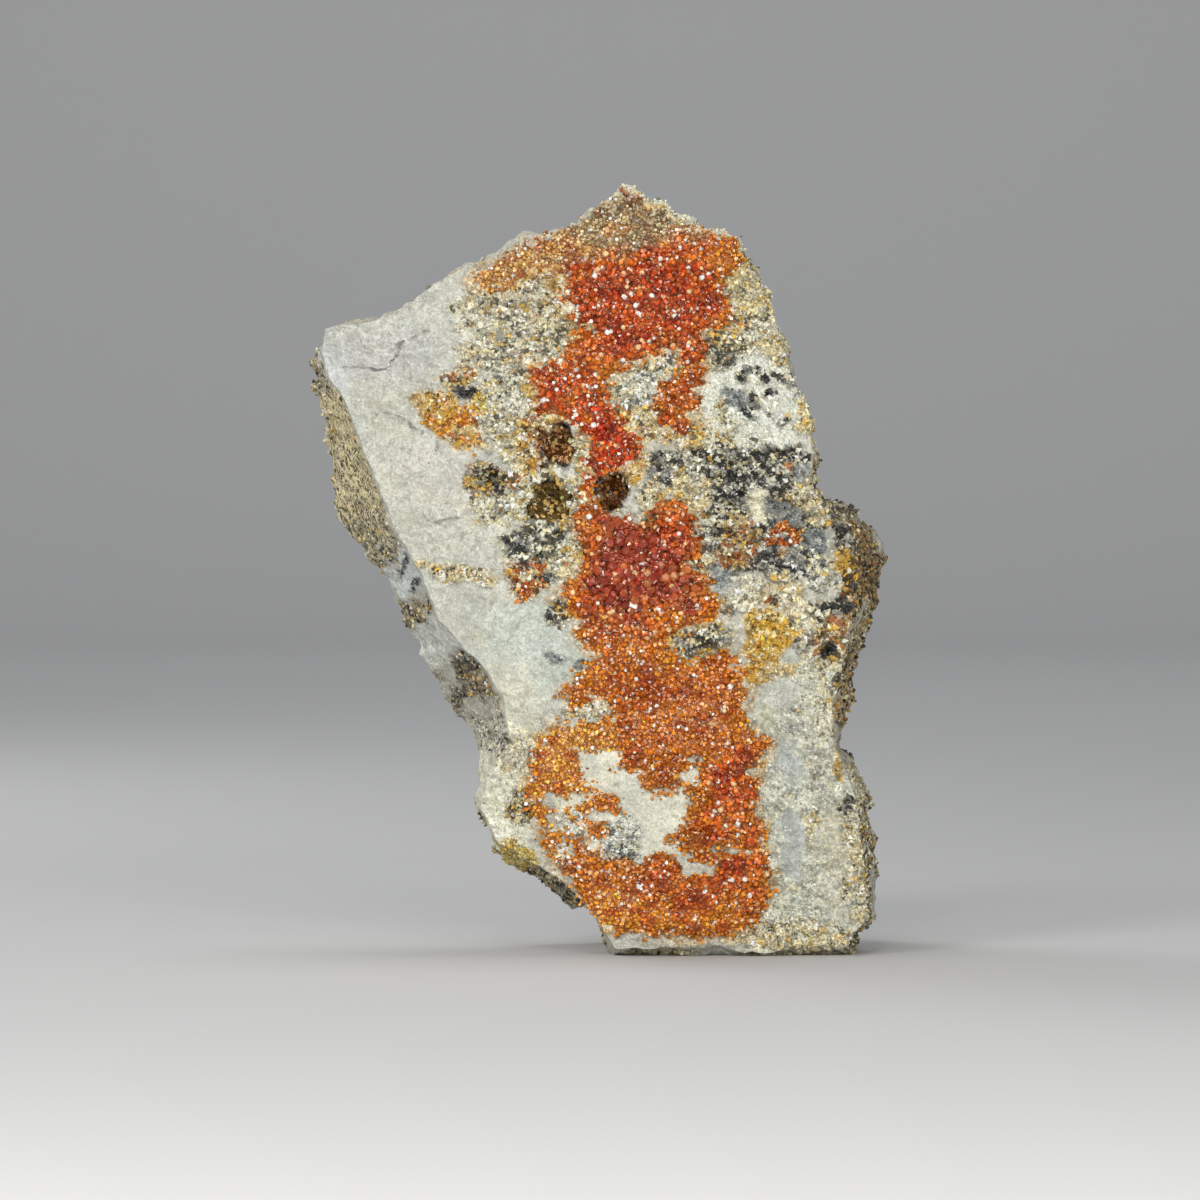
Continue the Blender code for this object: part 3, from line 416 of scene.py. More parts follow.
# Colours and mixtures of the crystal face, laid over plain quartz in this order.
QUARTZ: Colour = (0.60, 0.60, 0.51)
FACE_PATCHES = (
    # quartz on the left
    Patch(-28.4, 78.3, 9.0, 4.6, (0.57, 0.575, 0.545), soft=2.5),
    Patch(-34.6, 74.6, 2.4, 3.4, (0.72, 0.76, 0.76), soft=1.5),
    Patch(-7.7, 39.6, 7.7, 6.5, (0.60, 0.68, 0.60), soft=2.5),
    Patch(-12.9, 33.2, 5.2, 5.2, (0.73, 0.72, 0.56), soft=2.5),
    Patch(-18.7, 62.8, 6.8, 4.9, (0.65, 0.64, 0.565), soft=2.5),
    Patch(-18.4, 49.6, 5.6, 0.9, (0.52, 0.38, 0.16), Speckle.STRAW, turn=-12, ragged=1.4),
    Patch(-19.8, 50.2, 1.2, 0.6, (0.48, 0.36, 0.16), Speckle.BEIGE, ragged=2.0),
    Patch(-15.0, 48.6, 0.9, 0.5, (0.50, 0.38, 0.18), Speckle.BEIGE, ragged=2.0),
    # granular rock round the upper crust
    Patch(-9.0, 80.9, 9.4, 6.4, (0.56, 0.50, 0.34), Speckle.BEIGE, ragged=2.0),
    Patch(-9.7, 72.5, 6.4, 8.4, (0.56, 0.53, 0.40), Speckle.BEIGE, ragged=1.8),
    Patch(-4.5, 88.0, 9.0, 3.2, (0.52, 0.40, 0.24), Speckle.BEIGE, turn=25, ragged=1.5),
    Patch(10.8, 95.6, 9.5, 1.6, (0.46, 0.33, 0.16), Speckle.STRAW, turn=-27),
    Patch(20.4, 86.0, 4.4, 6.6, (0.62, 0.54, 0.28), Speckle.STRAW, ragged=1.2),
    Patch(20.3, 80.2, 3.6, 2.0, (0.46, 0.39, 0.25), Speckle.BEIGE),
    Patch(15.8, 78.4, 3.0, 2.6, (0.42, 0.35, 0.20), Speckle.BROWN),
    Patch(23.2, 76.6, 1.9, 3.6, (0.52, 0.44, 0.26), Speckle.STRAW),
    Patch(17.0, 77.0, 2.6, 1.2, (0.40, 0.35, 0.24), Speckle.DARK),
    Patch(6.5, 73.8, 5.8, 6.2, (0.80, 0.84, 0.72), Speckle.SALT),
    Patch(5.2, 68.6, 3.6, 2.8, (0.60, 0.47, 0.24), Speckle.STRAW),
    # chalky white patch on the right and its black spots
    Patch(19.6, 70.6, 8.0, 6.3, (0.86, 0.90, 0.78), Speckle.CHALK, ragged=1.7),
    Patch(12.9, 66.0, 4.8, 3.2, (0.66, 0.57, 0.36), Speckle.BEIGE, ragged=2.0),
    Patch(19.6, 75.3, 1.6, 0.5, (0.07, 0.08, 0.08), Speckle.DARK, ragged=1.7),
    Patch(18.3, 74.6, 0.5, 0.8, (0.10, 0.11, 0.11), Speckle.DARK, ragged=1.7),
    Patch(20.9, 74.5, 0.4, 0.8, (0.10, 0.11, 0.11), Speckle.DARK, ragged=1.7),
    Patch(18.6, 70.6, 1.5, 0.5, (0.05, 0.06, 0.07), Speckle.DARK, turn=-30, ragged=1.7),
    Patch(19.8, 71.8, 0.6, 1.0, (0.06, 0.07, 0.08), Speckle.DARK, turn=20, ragged=1.7),
    Patch(21.6, 72.6, 0.6, 0.5, (0.09, 0.10, 0.10), Speckle.DARK, ragged=1.7),
    Patch(21.4, 70.6, 0.4, 0.6, (0.12, 0.13, 0.13), Speckle.DARK, ragged=1.7),
    Patch(23.6, 69.2, 0.6, 0.9, (0.10, 0.12, 0.13), Speckle.DARK, ragged=1.7),
    Patch(25.6, 72.2, 0.5, 0.8, (0.16, 0.16, 0.14), Speckle.DARK, ragged=1.7),
    Patch(17.0, 72.5, 1.6, 1.1, (0.34, 0.38, 0.38), Speckle.SLATE, turn=-30, ragged=2.0),
    Patch(22.8, 75.0, 1.2, 0.6, (0.36, 0.36, 0.30), Speckle.DARK, ragged=1.5),
    Patch(15.4, 69.0, 0.8, 2.2, (0.52, 0.46, 0.30), Speckle.BEIGE, ragged=2.0),
    Patch(26.6, 69.6, 1.4, 2.8, (0.66, 0.56, 0.30), Speckle.STRAW),
    Patch(24.4, 74.4, 1.6, 1.0, (0.30, 0.28, 0.22), Speckle.DARK),
    # dark granular band
    Patch(17.4, 57.7, 12.6, 8.2, (0.20, 0.18, 0.135), Speckle.DARK, ragged=1.6),
    Patch(22.0, 63.6, 5.4, 2.6, (0.18, 0.17, 0.14), Speckle.DARK),
    Patch(25.0, 65.3, 2.4, 0.9, (0.06, 0.06, 0.05), Speckle.DARK, ragged=2.0),
    Patch(8.4, 62.6, 3.4, 3.2, (0.24, 0.23, 0.20), Speckle.DARK),
    Patch(11.6, 59.0, 3.4, 4.4, (0.46, 0.40, 0.26), Speckle.STRAW, ragged=1.5),
    Patch(7.1, 59.0, 2.4, 2.4, (0.42, 0.38, 0.26), Speckle.BEIGE),
    Patch(17.4, 60.4, 2.6, 3.6, (0.06, 0.06, 0.05), Speckle.DARK),
    Patch(20.9, 58.0, 1.7, 1.9, (0.84, 0.80, 0.54), Speckle.CHALK),
    Patch(23.8, 57.4, 2.4, 2.4, (0.14, 0.16, 0.17), Speckle.SLATE),
    Patch(26.0, 60.2, 2.6, 2.0, (0.56, 0.46, 0.26), Speckle.STRAW),
    Patch(27.5, 53.4, 2.1, 2.6, (0.24, 0.29, 0.31), Speckle.SLATE),
    Patch(26.2, 62.8, 1.6, 1.6, (0.24, 0.26, 0.28), Speckle.SLATE),
    Patch(18.3, 53.9, 3.0, 3.9, (0.38, 0.24, 0.10), Speckle.RUST, ragged=1.4),
    Patch(24.4, 50.3, 4.6, 1.9, (0.24, 0.24, 0.22), Speckle.DARK),
    Patch(15.1, 48.4, 1.8, 1.8, (0.20, 0.26, 0.28), Speckle.SLATE),
    Patch(16.8, 45.0, 1.4, 1.5, (0.22, 0.27, 0.29), Speckle.SLATE),
    Patch(29.0, 59.0, 2.8, 3.5, (0.56, 0.48, 0.28), Speckle.STRAW, ragged=1.4),
    Patch(23.9, 63.3, 0.7, 0.6, (0.56, 0.12, 0.03), Speckle.RUST, ragged=0.2),
    # brown knob on the right edge
    Patch(34.0, 51.2, 4.2, 8.4, (0.27, 0.175, 0.06), Speckle.UMBER, ragged=1.2),
    Patch(32.0, 54.4, 2.4, 3.2, (0.035, 0.02, 0.01), Speckle.BLACK, ragged=1.6),
    Patch(33.4, 57.0, 2.4, 1.7, (0.15, 0.09, 0.035), Speckle.BROWN, ragged=1.3),
    Patch(34.0, 53.2, 1.1, 1.6, (0.12, 0.08, 0.04), Speckle.BLACK, ragged=1.6),
    Patch(33.2, 48.0, 1.3, 1.2, (0.07, 0.06, 0.05), Speckle.BLACK, ragged=1.6),
    Patch(36.2, 45.4, 0.9, 2.0, (0.14, 0.14, 0.12), Speckle.DARK),
    Patch(35.4, 51.6, 1.2, 2.0, (0.40, 0.37, 0.20), Speckle.STRAW),
    Patch(31.3, 50.8, 1.5, 1.8, (0.42, 0.25, 0.05), Speckle.OCHRE, ragged=1.4),
    Patch(30.2, 42.4, 2.4, 1.6, (0.62, 0.36, 0.13), Speckle.RUST, ragged=1.6),
    Patch(35.6, 47.5, 1.0, 3.4, (0.52, 0.30, 0.06), Speckle.OCHRE),
    # cream, white and ochre lumps below the dark band
    Patch(28.9, 48.6, 1.9, 2.2, (0.66, 0.68, 0.56), Speckle.SALT, ragged=1.4),
    Patch(29.4, 44.9, 3.6, 1.4, (0.20, 0.19, 0.17), Speckle.DARK),
    Patch(18.8, 47.0, 2.6, 2.6, (0.86, 0.78, 0.58), Speckle.CREAM),
    Patch(23.2, 45.4, 4.0, 3.8, (0.76, 0.62, 0.37), Speckle.CREAM, ragged=1.3),
    Patch(22.4, 46.0, 1.4, 0.9, (0.48, 0.20, 0.06), Speckle.RUST),
    Patch(21.4, 41.0, 3.8, 3.4, (0.92, 0.57, 0.06), Speckle.OCHRE, ragged=1.2),
    Patch(27.0, 40.6, 1.6, 3.0, (0.64, 0.59, 0.46), Speckle.BEIGE),
    Patch(30.6, 40.8, 2.9, 3.0, (0.74, 0.54, 0.26), Speckle.RUST, ragged=1.1),
    # Painted shade: a near-black patch laid in the pocket of the same place and size.
    Patch(29.2, 39.6, 1.0, 1.1, (0.02, 0.012, 0.008), Speckle.BLACK, ragged=0.5),
    Patch(26.8, 37.3, 1.6, 0.8, (0.84, 0.82, 0.74), Speckle.CHALK),
    Patch(22.0, 36.8, 4.4, 1.4, (0.62, 0.38, 0.10), Speckle.OCHRE, ragged=0.9),
    Patch(28.6, 35.6, 2.6, 2.4, (0.58, 0.53, 0.34), Speckle.STRAW),
    # grey lump through the crust
    Patch(12.9, 40.6, 5.0, 2.6, (0.27, 0.26, 0.18), Speckle.DARK, turn=15, ragged=0.7),
    # quartz at the lower right
    Patch(25.8, 19.0, 9.0, 17.8, (0.68, 0.71, 0.58), Speckle.FROST, ragged=1.5, soft=1.5),
    Patch(22.4, 33.0, 3.6, 2.6, (0.53, 0.54, 0.45), soft=1.0),
    Patch(24.4, 25.6, 1.9, 3.0, (0.37, 0.42, 0.41), turn=20, soft=1.5),
    Patch(21.4, 30.6, 0.9, 1.5, (0.42, 0.42, 0.24), Speckle.DUSTY, soft=1.5),
    Patch(25.6, 30.4, 2.4, 2.6, (0.50, 0.52, 0.44), Speckle.FROST, ragged=1.8),
    Patch(27.7, 16.4, 1.1, 3.4, (0.62, 0.52, 0.24), Speckle.STRAW),
    Patch(25.2, 14.0, 1.6, 4.4, (0.44, 0.48, 0.46), soft=1.0),
    Patch(28.6, 24.4, 2.0, 4.0, (0.62, 0.60, 0.48), Speckle.FROST, soft=1.2),
    Patch(29.4, 31.6, 1.6, 4.2, (0.62, 0.57, 0.40), Speckle.CREAM, ragged=1.4),
    Patch(30.4, 12.0, 2.8, 9.0, (0.56, 0.55, 0.42), Speckle.DUSTY, ragged=1.5),
    Patch(33.4, 12.5, 2.0, 9.9, (0.52, 0.50, 0.40), Speckle.STRAW, ragged=1.2),
    Patch(31.4, 20.2, 1.0, 1.8, (0.24, 0.21, 0.15), Speckle.DARK, ragged=1.6),
    Patch(30.8, 25.4, 0.9, 2.6, (0.50, 0.34, 0.10), Speckle.OCHRE),
    Patch(31.2, 31.2, 1.3, 4.6, (0.24, 0.18, 0.10), Speckle.BROWN),
    Patch(25.8, 2.6, 9.6, 2.0, (0.62, 0.56, 0.38), Speckle.STRAW, ragged=1.2),
    # bare rock inside and beside the lower crust
    Patch(4.0, 20.3, 10.5, 7.6, (0.86, 0.85, 0.68), Speckle.SUGAR, ragged=1.4),
    Patch(2.6, 15.0, 2.8, 3.0, (0.68, 0.76, 0.76), Speckle.SALT),
    Patch(-3.0, 17.0, 3.4, 1.5, (0.72, 0.74, 0.64), Speckle.SALT, turn=-35),
    Patch(-0.8, 32.4, 3.4, 1.8, (0.56, 0.51, 0.36), Speckle.BEIGE),
    Patch(-4.8, 13.4, 1.5, 1.3, (0.82, 0.80, 0.66), Speckle.CHALK),
    Patch(-12.3, 20.3, 4.6, 8.2, (0.94, 0.92, 0.70), Speckle.CHALK, ragged=1.3),
    Patch(-10.0, 19.6, 1.9, 2.2, (0.44, 0.35, 0.20), Speckle.BROWN),
    Patch(-12.0, 26.5, 3.4, 3.0, (0.74, 0.68, 0.50), Speckle.CREAM),
    Patch(-10.7, 12.8, 2.3, 2.0, (0.56, 0.47, 0.07), Speckle.OCHRE),
    Patch(-7.1, 9.3, 2.8, 1.2, (0.30, 0.21, 0.09), Speckle.BROWN, turn=-30),
    Patch(-2.6, 7.2, 3.6, 0.8, (0.78, 0.76, 0.62), Speckle.CHALK, turn=-50),
    # belt of hollows
    Patch(-6.5, 62.8, 6.8, 8.4, (0.64, 0.58, 0.38), Speckle.STRAW, ragged=1.8),
    Patch(-9.0, 66.2, 2.0, 3.8, (0.52, 0.28, 0.09), Speckle.RUST),
    Patch(-14.2, 61.3, 3.4, 2.8, (0.46, 0.34, 0.18), Speckle.RUST, ragged=1.2),
    Patch(-12.4, 58.0, 3.4, 2.6, (0.62, 0.58, 0.40), Speckle.BEIGE, ragged=1.4),
    Patch(-4.6, 62.8, 1.4, 1.6, (0.86, 0.86, 0.80), Speckle.CHALK),
    Patch(-3.9, 67.6, 0.8, 1.3, (0.82, 0.78, 0.68), Speckle.CHALK),
    Patch(-7.6, 63.4, 1.6, 0.9, (0.56, 0.20, 0.05), Speckle.RUST),
    Patch(-10.8, 62.4, 0.9, 1.1, (0.56, 0.12, 0.02), Speckle.RUST),
    # Painted shade: a dark brown patch laid in the shallow pocket at the same place.
    Patch(-14.2, 61.5, 2.1, 2.0, (0.16, 0.12, 0.08), Speckle.BROWN),
    Patch(-7.4, 53.2, 5.2, 2.6, (0.36, 0.34, 0.26), Speckle.DARK, ragged=1.6),
    Patch(-10.6, 52.2, 2.0, 1.2, (0.20, 0.23, 0.22), Speckle.DARK, turn=-25),
    Patch(-9.7, 48.6, 2.8, 2.1, (0.38, 0.19, 0.09), Speckle.RUST),
    Patch(-4.4, 50.6, 2.2, 2.6, (0.70, 0.64, 0.44), Speckle.STRAW),
    Patch(-6.6, 48.2, 1.8, 1.0, (0.10, 0.11, 0.10), Speckle.BLACK, ragged=1.6),
    Patch(-5.2, 44.4, 1.2, 1.6, (0.21, 0.22, 0.20), Speckle.DARK),
    Patch(4.2, 62.6, 1.5, 2.0, (0.74, 0.44, 0.06), Speckle.OCHRE, ragged=0.6),
    Patch(1.6, 60.4, 2.7, 3.0, (0.22, 0.10, 0.03), Speckle.UMBER),
    # round the small patch of crystals on the left
    Patch(-18.4, 75.0, 3.6, 2.0, (0.56, 0.44, 0.22), Speckle.RUST, ragged=1.5),
    Patch(-21.0, 71.0, 3.0, 2.6, (0.56, 0.32, 0.08), Speckle.OCHRE, ragged=1.3),
    Patch(-18.2, 68.0, 2.8, 2.4, (0.60, 0.34, 0.08), Speckle.OCHRE, ragged=1.3),
    # Painted shade: a near-black patch laid over the small pocket at (-16.8, 72.6).
    Patch(-17.2, 73.0, 2.0, 0.9, (0.05, 0.045, 0.04), Speckle.BLACK, turn=-20, ragged=1.4),
    Patch(-14.9, 71.2, 0.9, 1.0, (0.78, 0.62, 0.10), Speckle.OCHRE),
    Patch(-5.8, 39.0, 1.3, 0.7, (0.28, 0.33, 0.34), Speckle.SLATE),
    Patch(-2.2, 37.9, 1.5, 0.8, (0.26, 0.31, 0.33), Speckle.SLATE),
)
# Colours of the broken left side, which shows beside the crystal face.
SIDE_PATCHES = (
    Patch(-32.3, 62.8, 5.8, 15.4, (0.88, 0.73, 0.39), Speckle.FIBRE, turn=-20, ragged=3.0),
    Patch(-29.5, 52.5, 4.0, 5.0, (0.54, 0.46, 0.29), Speckle.BROWN, turn=-20),
    Patch(-24.6, 49.4, 2.7, 5.2, (0.82, 0.88, 0.86), Speckle.CHALK, turn=-35),
    Patch(-25.5, 50.4, 0.5, 3.0, (0.10, 0.11, 0.12), Speckle.BLACK, turn=-35, ragged=2.0),
    Patch(-23.6, 47.8, 0.5, 2.6, (0.12, 0.13, 0.14), Speckle.BLACK, turn=-35, ragged=2.0),
    Patch(-20.8, 40.8, 2.8, 7.0, (0.86, 0.90, 0.80), Speckle.CHALK, turn=-35),
    Patch(-13.6, 28.6, 2.6, 2.8, (0.62, 0.60, 0.48), Speckle.SALT),
    Patch(-24.6, 42.6, 1.2, 2.6, (0.30, 0.20, 0.08), Speckle.BROWN, turn=-35, ragged=1.6),
    Patch(-17.0, 38.4, 0.9, 2.0, (0.20, 0.16, 0.10), Speckle.BROWN, turn=-30),
    Patch(-18.2, 35.0, 2.3, 5.2, (0.10, 0.075, 0.05), Speckle.BROWN, turn=-35, ragged=1.4),
    Patch(-14.6, 35.4, 1.7, 3.8, (0.27, 0.20, 0.12), Speckle.BROWN, turn=-28, ragged=1.4),
    Patch(12.0, 96.5, 13.0, 4.5, (0.78, 0.73, 0.56), Speckle.CREAM, turn=-25),
    Patch(34.8, 42.6, 2.6, 5.6, (0.34, 0.25, 0.12), Speckle.BROWN),
    Patch(33.2, 31.5, 2.6, 6.0, (0.30, 0.20, 0.08), Speckle.BROWN),
    Patch(33.4, 22.4, 2.2, 4.0, (0.52, 0.46, 0.32), Speckle.STRAW),
    Patch(-15.5, 21.0, 3.0, 5.8, (0.88, 0.83, 0.62), Speckle.CHALK),
    Patch(21.5, 85.0, 5.0, 9.0, (0.62, 0.54, 0.32), Speckle.CREAM),
    Patch(27.0, 66.5, 2.5, 7.5, (0.50, 0.42, 0.25), Speckle.STRAW),
    Patch(-11.5, 12.6, 3.0, 2.6, (0.60, 0.50, 0.09), Speckle.OCHRE),
    Patch(-6.5, 8.6, 3.4, 1.8, (0.30, 0.21, 0.08), Speckle.BROWN, turn=-30),
    Patch(-2.6, 5.9, 3.6, 1.0, (0.14, 0.11, 0.08), Speckle.BROWN, turn=-50),
    Patch(36.0, 51.2, 4.0, 9.0, (0.23, 0.155, 0.055), Speckle.UMBER),
    Patch(34.5, 12.5, 2.6, 10.5, (0.44, 0.39, 0.27), Speckle.BROWN),
)
STREAKS = Patch(-31.5, 64.5, 6.4, 14.4, (0.0, 0.0, 0.0), turn=-20, ragged=3.5, soft=1.5)
CRACKS = (
    Line(((-33.2, 76.0), (-27.7, 76.0), (-25.8, 78.9), (-21.9, 80.9))),
    Line(((-28.4, 70.3), (-25.0, 69.0), (-22.6, 67.7))),
    Line(((-21.0, 66.7), (-21.5, 64.8))),
    Line(((-23.0, 56.9), (-20.4, 56.2), (-17.8, 56.4))),
)


# ------------------------------------------------------------------ meshes
@dataclass
class Shape:
    """Points, faces and colours that are gathered before they become one mesh."""

    points: list[Array] = field(default_factory=list)
    faces: list[Array] = field(default_factory=list)
    values: dict[str, list[Array]] = field(default_factory=dict)
    count: int = 0

    def add(self, points: Array, faces: list[Array], **values: Array) -> None:
        """Adds points in millimetres, faces numbered from their first point, and values for each point.

        Args:
            points: places of the points.
            faces: one array of faces for each number of corners.
            values: colours with three columns, or single numbers, by the attribute's name.
        """
        self.points.append(points)
        self.faces += [group + self.count for group in faces]
        for name, value in values.items():
            self.values.setdefault(name, []).append(value)
        self.count += len(points)

    def triangles(self) -> int:
        """Number of triangles the faces come to."""
        return sum(len(group) * (group.shape[1] - 2) for group in self.faces)

    def as_object(self, name: str, material: bpy.types.Material,
                  sharp_degrees: float | None = None) -> bpy.types.Object:
        """Makes the mesh, with its place in its points.

        Args:
            name: name of the piece.
            material: its finish.
            sharp_degrees: angle above which an edge stays sharp, or None for flat faces.

        Returns:
            The new object, at the origin.
        """
        mesh = bpy.data.meshes.new(name)
        points = (np.concatenate(self.points) + CENTRING) * MM
        mesh.vertices.add(len(points))
        mesh.vertices.foreach_set("co", points.astype(np.float32).ravel())
        corners = np.concatenate([group.ravel() for group in self.faces])
        sizes = np.concatenate([np.full(len(group), group.shape[1]) for group in self.faces])
        mesh.loops.add(len(corners))
        mesh.loops.foreach_set("vertex_index", corners.astype(np.int32))
        mesh.polygons.add(len(sizes))
        mesh.polygons.foreach_set("loop_start", (np.cumsum(sizes) - sizes).astype(np.int32))
        mesh.update(calc_edges=True)
        for label, parts in self.values.items():
            value = np.concatenate(parts).astype(np.float32)
            if value.ndim == 2:
                layer = mesh.attributes.new(label, "FLOAT_COLOR", "POINT")
                layer.data.foreach_set("color", np.c_[value, np.ones(len(value))].ravel())
            else:
                mesh.attributes.new(label, "FLOAT", "POINT").data.foreach_set("value", value)
        mesh.shade_flat() if sharp_degrees is None else mesh.shade_smooth()
        if sharp_degrees is not None:
            mesh.set_sharp_from_angle(angle=math.radians(sharp_degrees))
        mesh.materials.append(material)
        made = bpy.data.objects.new(name, mesh)
        bpy.context.scene.collection.objects.link(made)
        return made


def grid_quads(rows: int, columns: int, over: bool = False) -> Array:
    """Quads of a grid of points in row order; over turns them to face the other way."""
    index = np.arange(rows * columns).reshape(rows, columns)
    quads = np.stack([index[:-1, :-1], index[1:, :-1], index[1:, 1:], index[:-1, 1:]], axis=-1)
    quads = quads.reshape(-1, 4)
    return quads[:, ::-1] if over else quads


def band_quads(near: Array, far: Array) -> Array:
    """Quads between two closed rings of point numbers with as many points each."""
    return np.stack([near, np.roll(near, -1), np.roll(far, -1), far], axis=-1)


def thinning_triangles(near: Array, far: Array) -> Array:
    """Triangles between a closed ring of point numbers and one with half as many."""
    even, odd, following = near[0::2], near[1::2], np.roll(near[0::2], -1)
    far_next = np.roll(far, -1)
    return np.concatenate([
        np.stack([even, odd, far], axis=-1),
        np.stack([odd, far_next, far], axis=-1),
        np.stack([odd, following, far_next], axis=-1),
    ])


# ------------------------------------------------------------------ finishes
class Wire:
    """An output socket of a shader node; sums and products of wires add their Math nodes."""

    def __init__(self, bench: Bench, socket: bpy.types.NodeSocket) -> None:
        """Holds the socket and the bench it stands on."""
        self.bench, self.socket = bench, socket

    def _maths(self, operation: str, first: Wire | float, second: Wire | float) -> Wire:
        """Adds a Math node."""
        return self.bench.node("ShaderNodeMath", {"operation": operation}, {0: first, 1: second})

    def __add__(self, other: Wire | float) -> Wire:
        """self + other."""
        return self._maths("ADD", self, other)

    def __sub__(self, other: Wire | float) -> Wire:
        """self - other."""
        return self._maths("SUBTRACT", self, other)

    def __rsub__(self, other: float) -> Wire:
        """other - self."""
        return self._maths("SUBTRACT", other, self)

    def __mul__(self, other: Wire | float) -> Wire:
        """self * other."""
        return self._maths("MULTIPLY", self, other)

    __radd__ = __add__
    __rmul__ = __mul__


class Bench:
    """Adds the nodes of one material."""

    def __init__(self, name: str) -> None:
        """Starts a material with only its shader and output."""
        self.material = bpy.data.materials.new(name)
        self.material.use_nodes = True
        self.nodes, self.links = self.material.node_tree.nodes, self.material.node_tree.links
        self.shader = self.nodes["Principled BSDF"]

    def node(self, kind: str, settings: dict[str, object], sockets: dict[str | int, object],
             output: str | int = 0) -> Wire:
        """Adds a node: its settings first, then the values and links of its sockets.

        Args:
            kind: the node's type.
            settings: its properties.
            sockets: a value or a wire for each input, by name or number.
            output: which output is wanted.

        Returns:
            That output as a wire.
        """
        made = self.nodes.new(kind)
        for key, value in settings.items():
            setattr(made, key, value)
        for key, value in sockets.items():
            self.plug(made.inputs[key], value)
        return Wire(self, made.outputs[output])

    def plug(self, socket: bpy.types.NodeSocket, value: object) -> None:
        """Links a wire to a socket, or sets the socket to a plain value."""
        if isinstance(value, Wire):
            self.links.new(value.socket, socket)
        else:
            paint = isinstance(value, tuple) and socket.type == "RGBA"
            socket.default_value = (*value, 1.0) if paint else value

    def place(self) -> Wire:
        """Object coordinates in millimetres."""
        metres = self.node("ShaderNodeTexCoord", {}, {}, "Object")
        return self.node("ShaderNodeVectorMath", {"operation": "SCALE"}, {0: metres, "Scale": 1 / MM})

    def attribute(self, name: str, output: str = "Color") -> Wire:
        """A value painted on the mesh."""
        return self.node("ShaderNodeAttribute", {"attribute_name": name}, {}, output)

    def noise(self, place: Wire, size: float, detail: float = 3.0, rough: float = 0.6) -> Wire:
        """Noise from 0 to 1 with features of the given size in millimetres."""
        return self.node("ShaderNodeTexNoise", {}, {
            "Vector": place, "Scale": 1 / size, "Detail": detail, "Roughness": rough})

    def stretched(self, place: Wire, degrees: float, factor: float) -> Wire:
        """The place with its Z turned about Y by some degrees and drawn out by a factor."""
        return self.node("ShaderNodeMapping", {"vector_type": "TEXTURE"}, {
            "Vector": place, "Rotation": (0.0, math.radians(degrees), 0.0),
            "Scale": (1.0, 1.0, factor)}, "Vector")

    def range(self, value: Wire, low: float, high: float, start: float, end: float) -> Wire:
        """start where value is below low, end where it is above high, and a smooth change between."""
        return self.node("ShaderNodeMapRange", {"interpolation_type": "SMOOTHSTEP"}, {
            "Value": value, "From Min": low, "From Max": high, "To Min": start, "To Max": end})

    def mixed(self, share: Wire | float, first: object, second: object) -> Wire:
        """Two colours mixed: sockets 6 and 7 are the node's colours, and output 2 is theirs."""
        return self.node("ShaderNodeMix", {"data_type": "RGBA"}, {"Factor": share, 6: first, 7: second}, 2)

    def shaded(self, colour: Wire, level: Wire) -> Wire:
        """A colour made brighter or darker by a level round 1."""
        return self.node("ShaderNodeVectorMath", {"operation": "SCALE"}, {0: colour, "Scale": level})

    def bump(self, height: Wire, reach: float, strength: float) -> Wire:
        """A bump whose height runs over reach millimetres."""
        return self.node("ShaderNodeBump", {}, {
            "Height": height, "Distance": reach * MM, "Strength": strength})

    def finish(self, constants: dict[str, float], wires: dict[str, Wire]) -> bpy.types.Material:
        """Sets the shader's plain values, and links what changes over the surface."""
        for key, value in {**constants, **wires}.items():
            self.plug(self.shader.inputs[key], value)
        return self.material


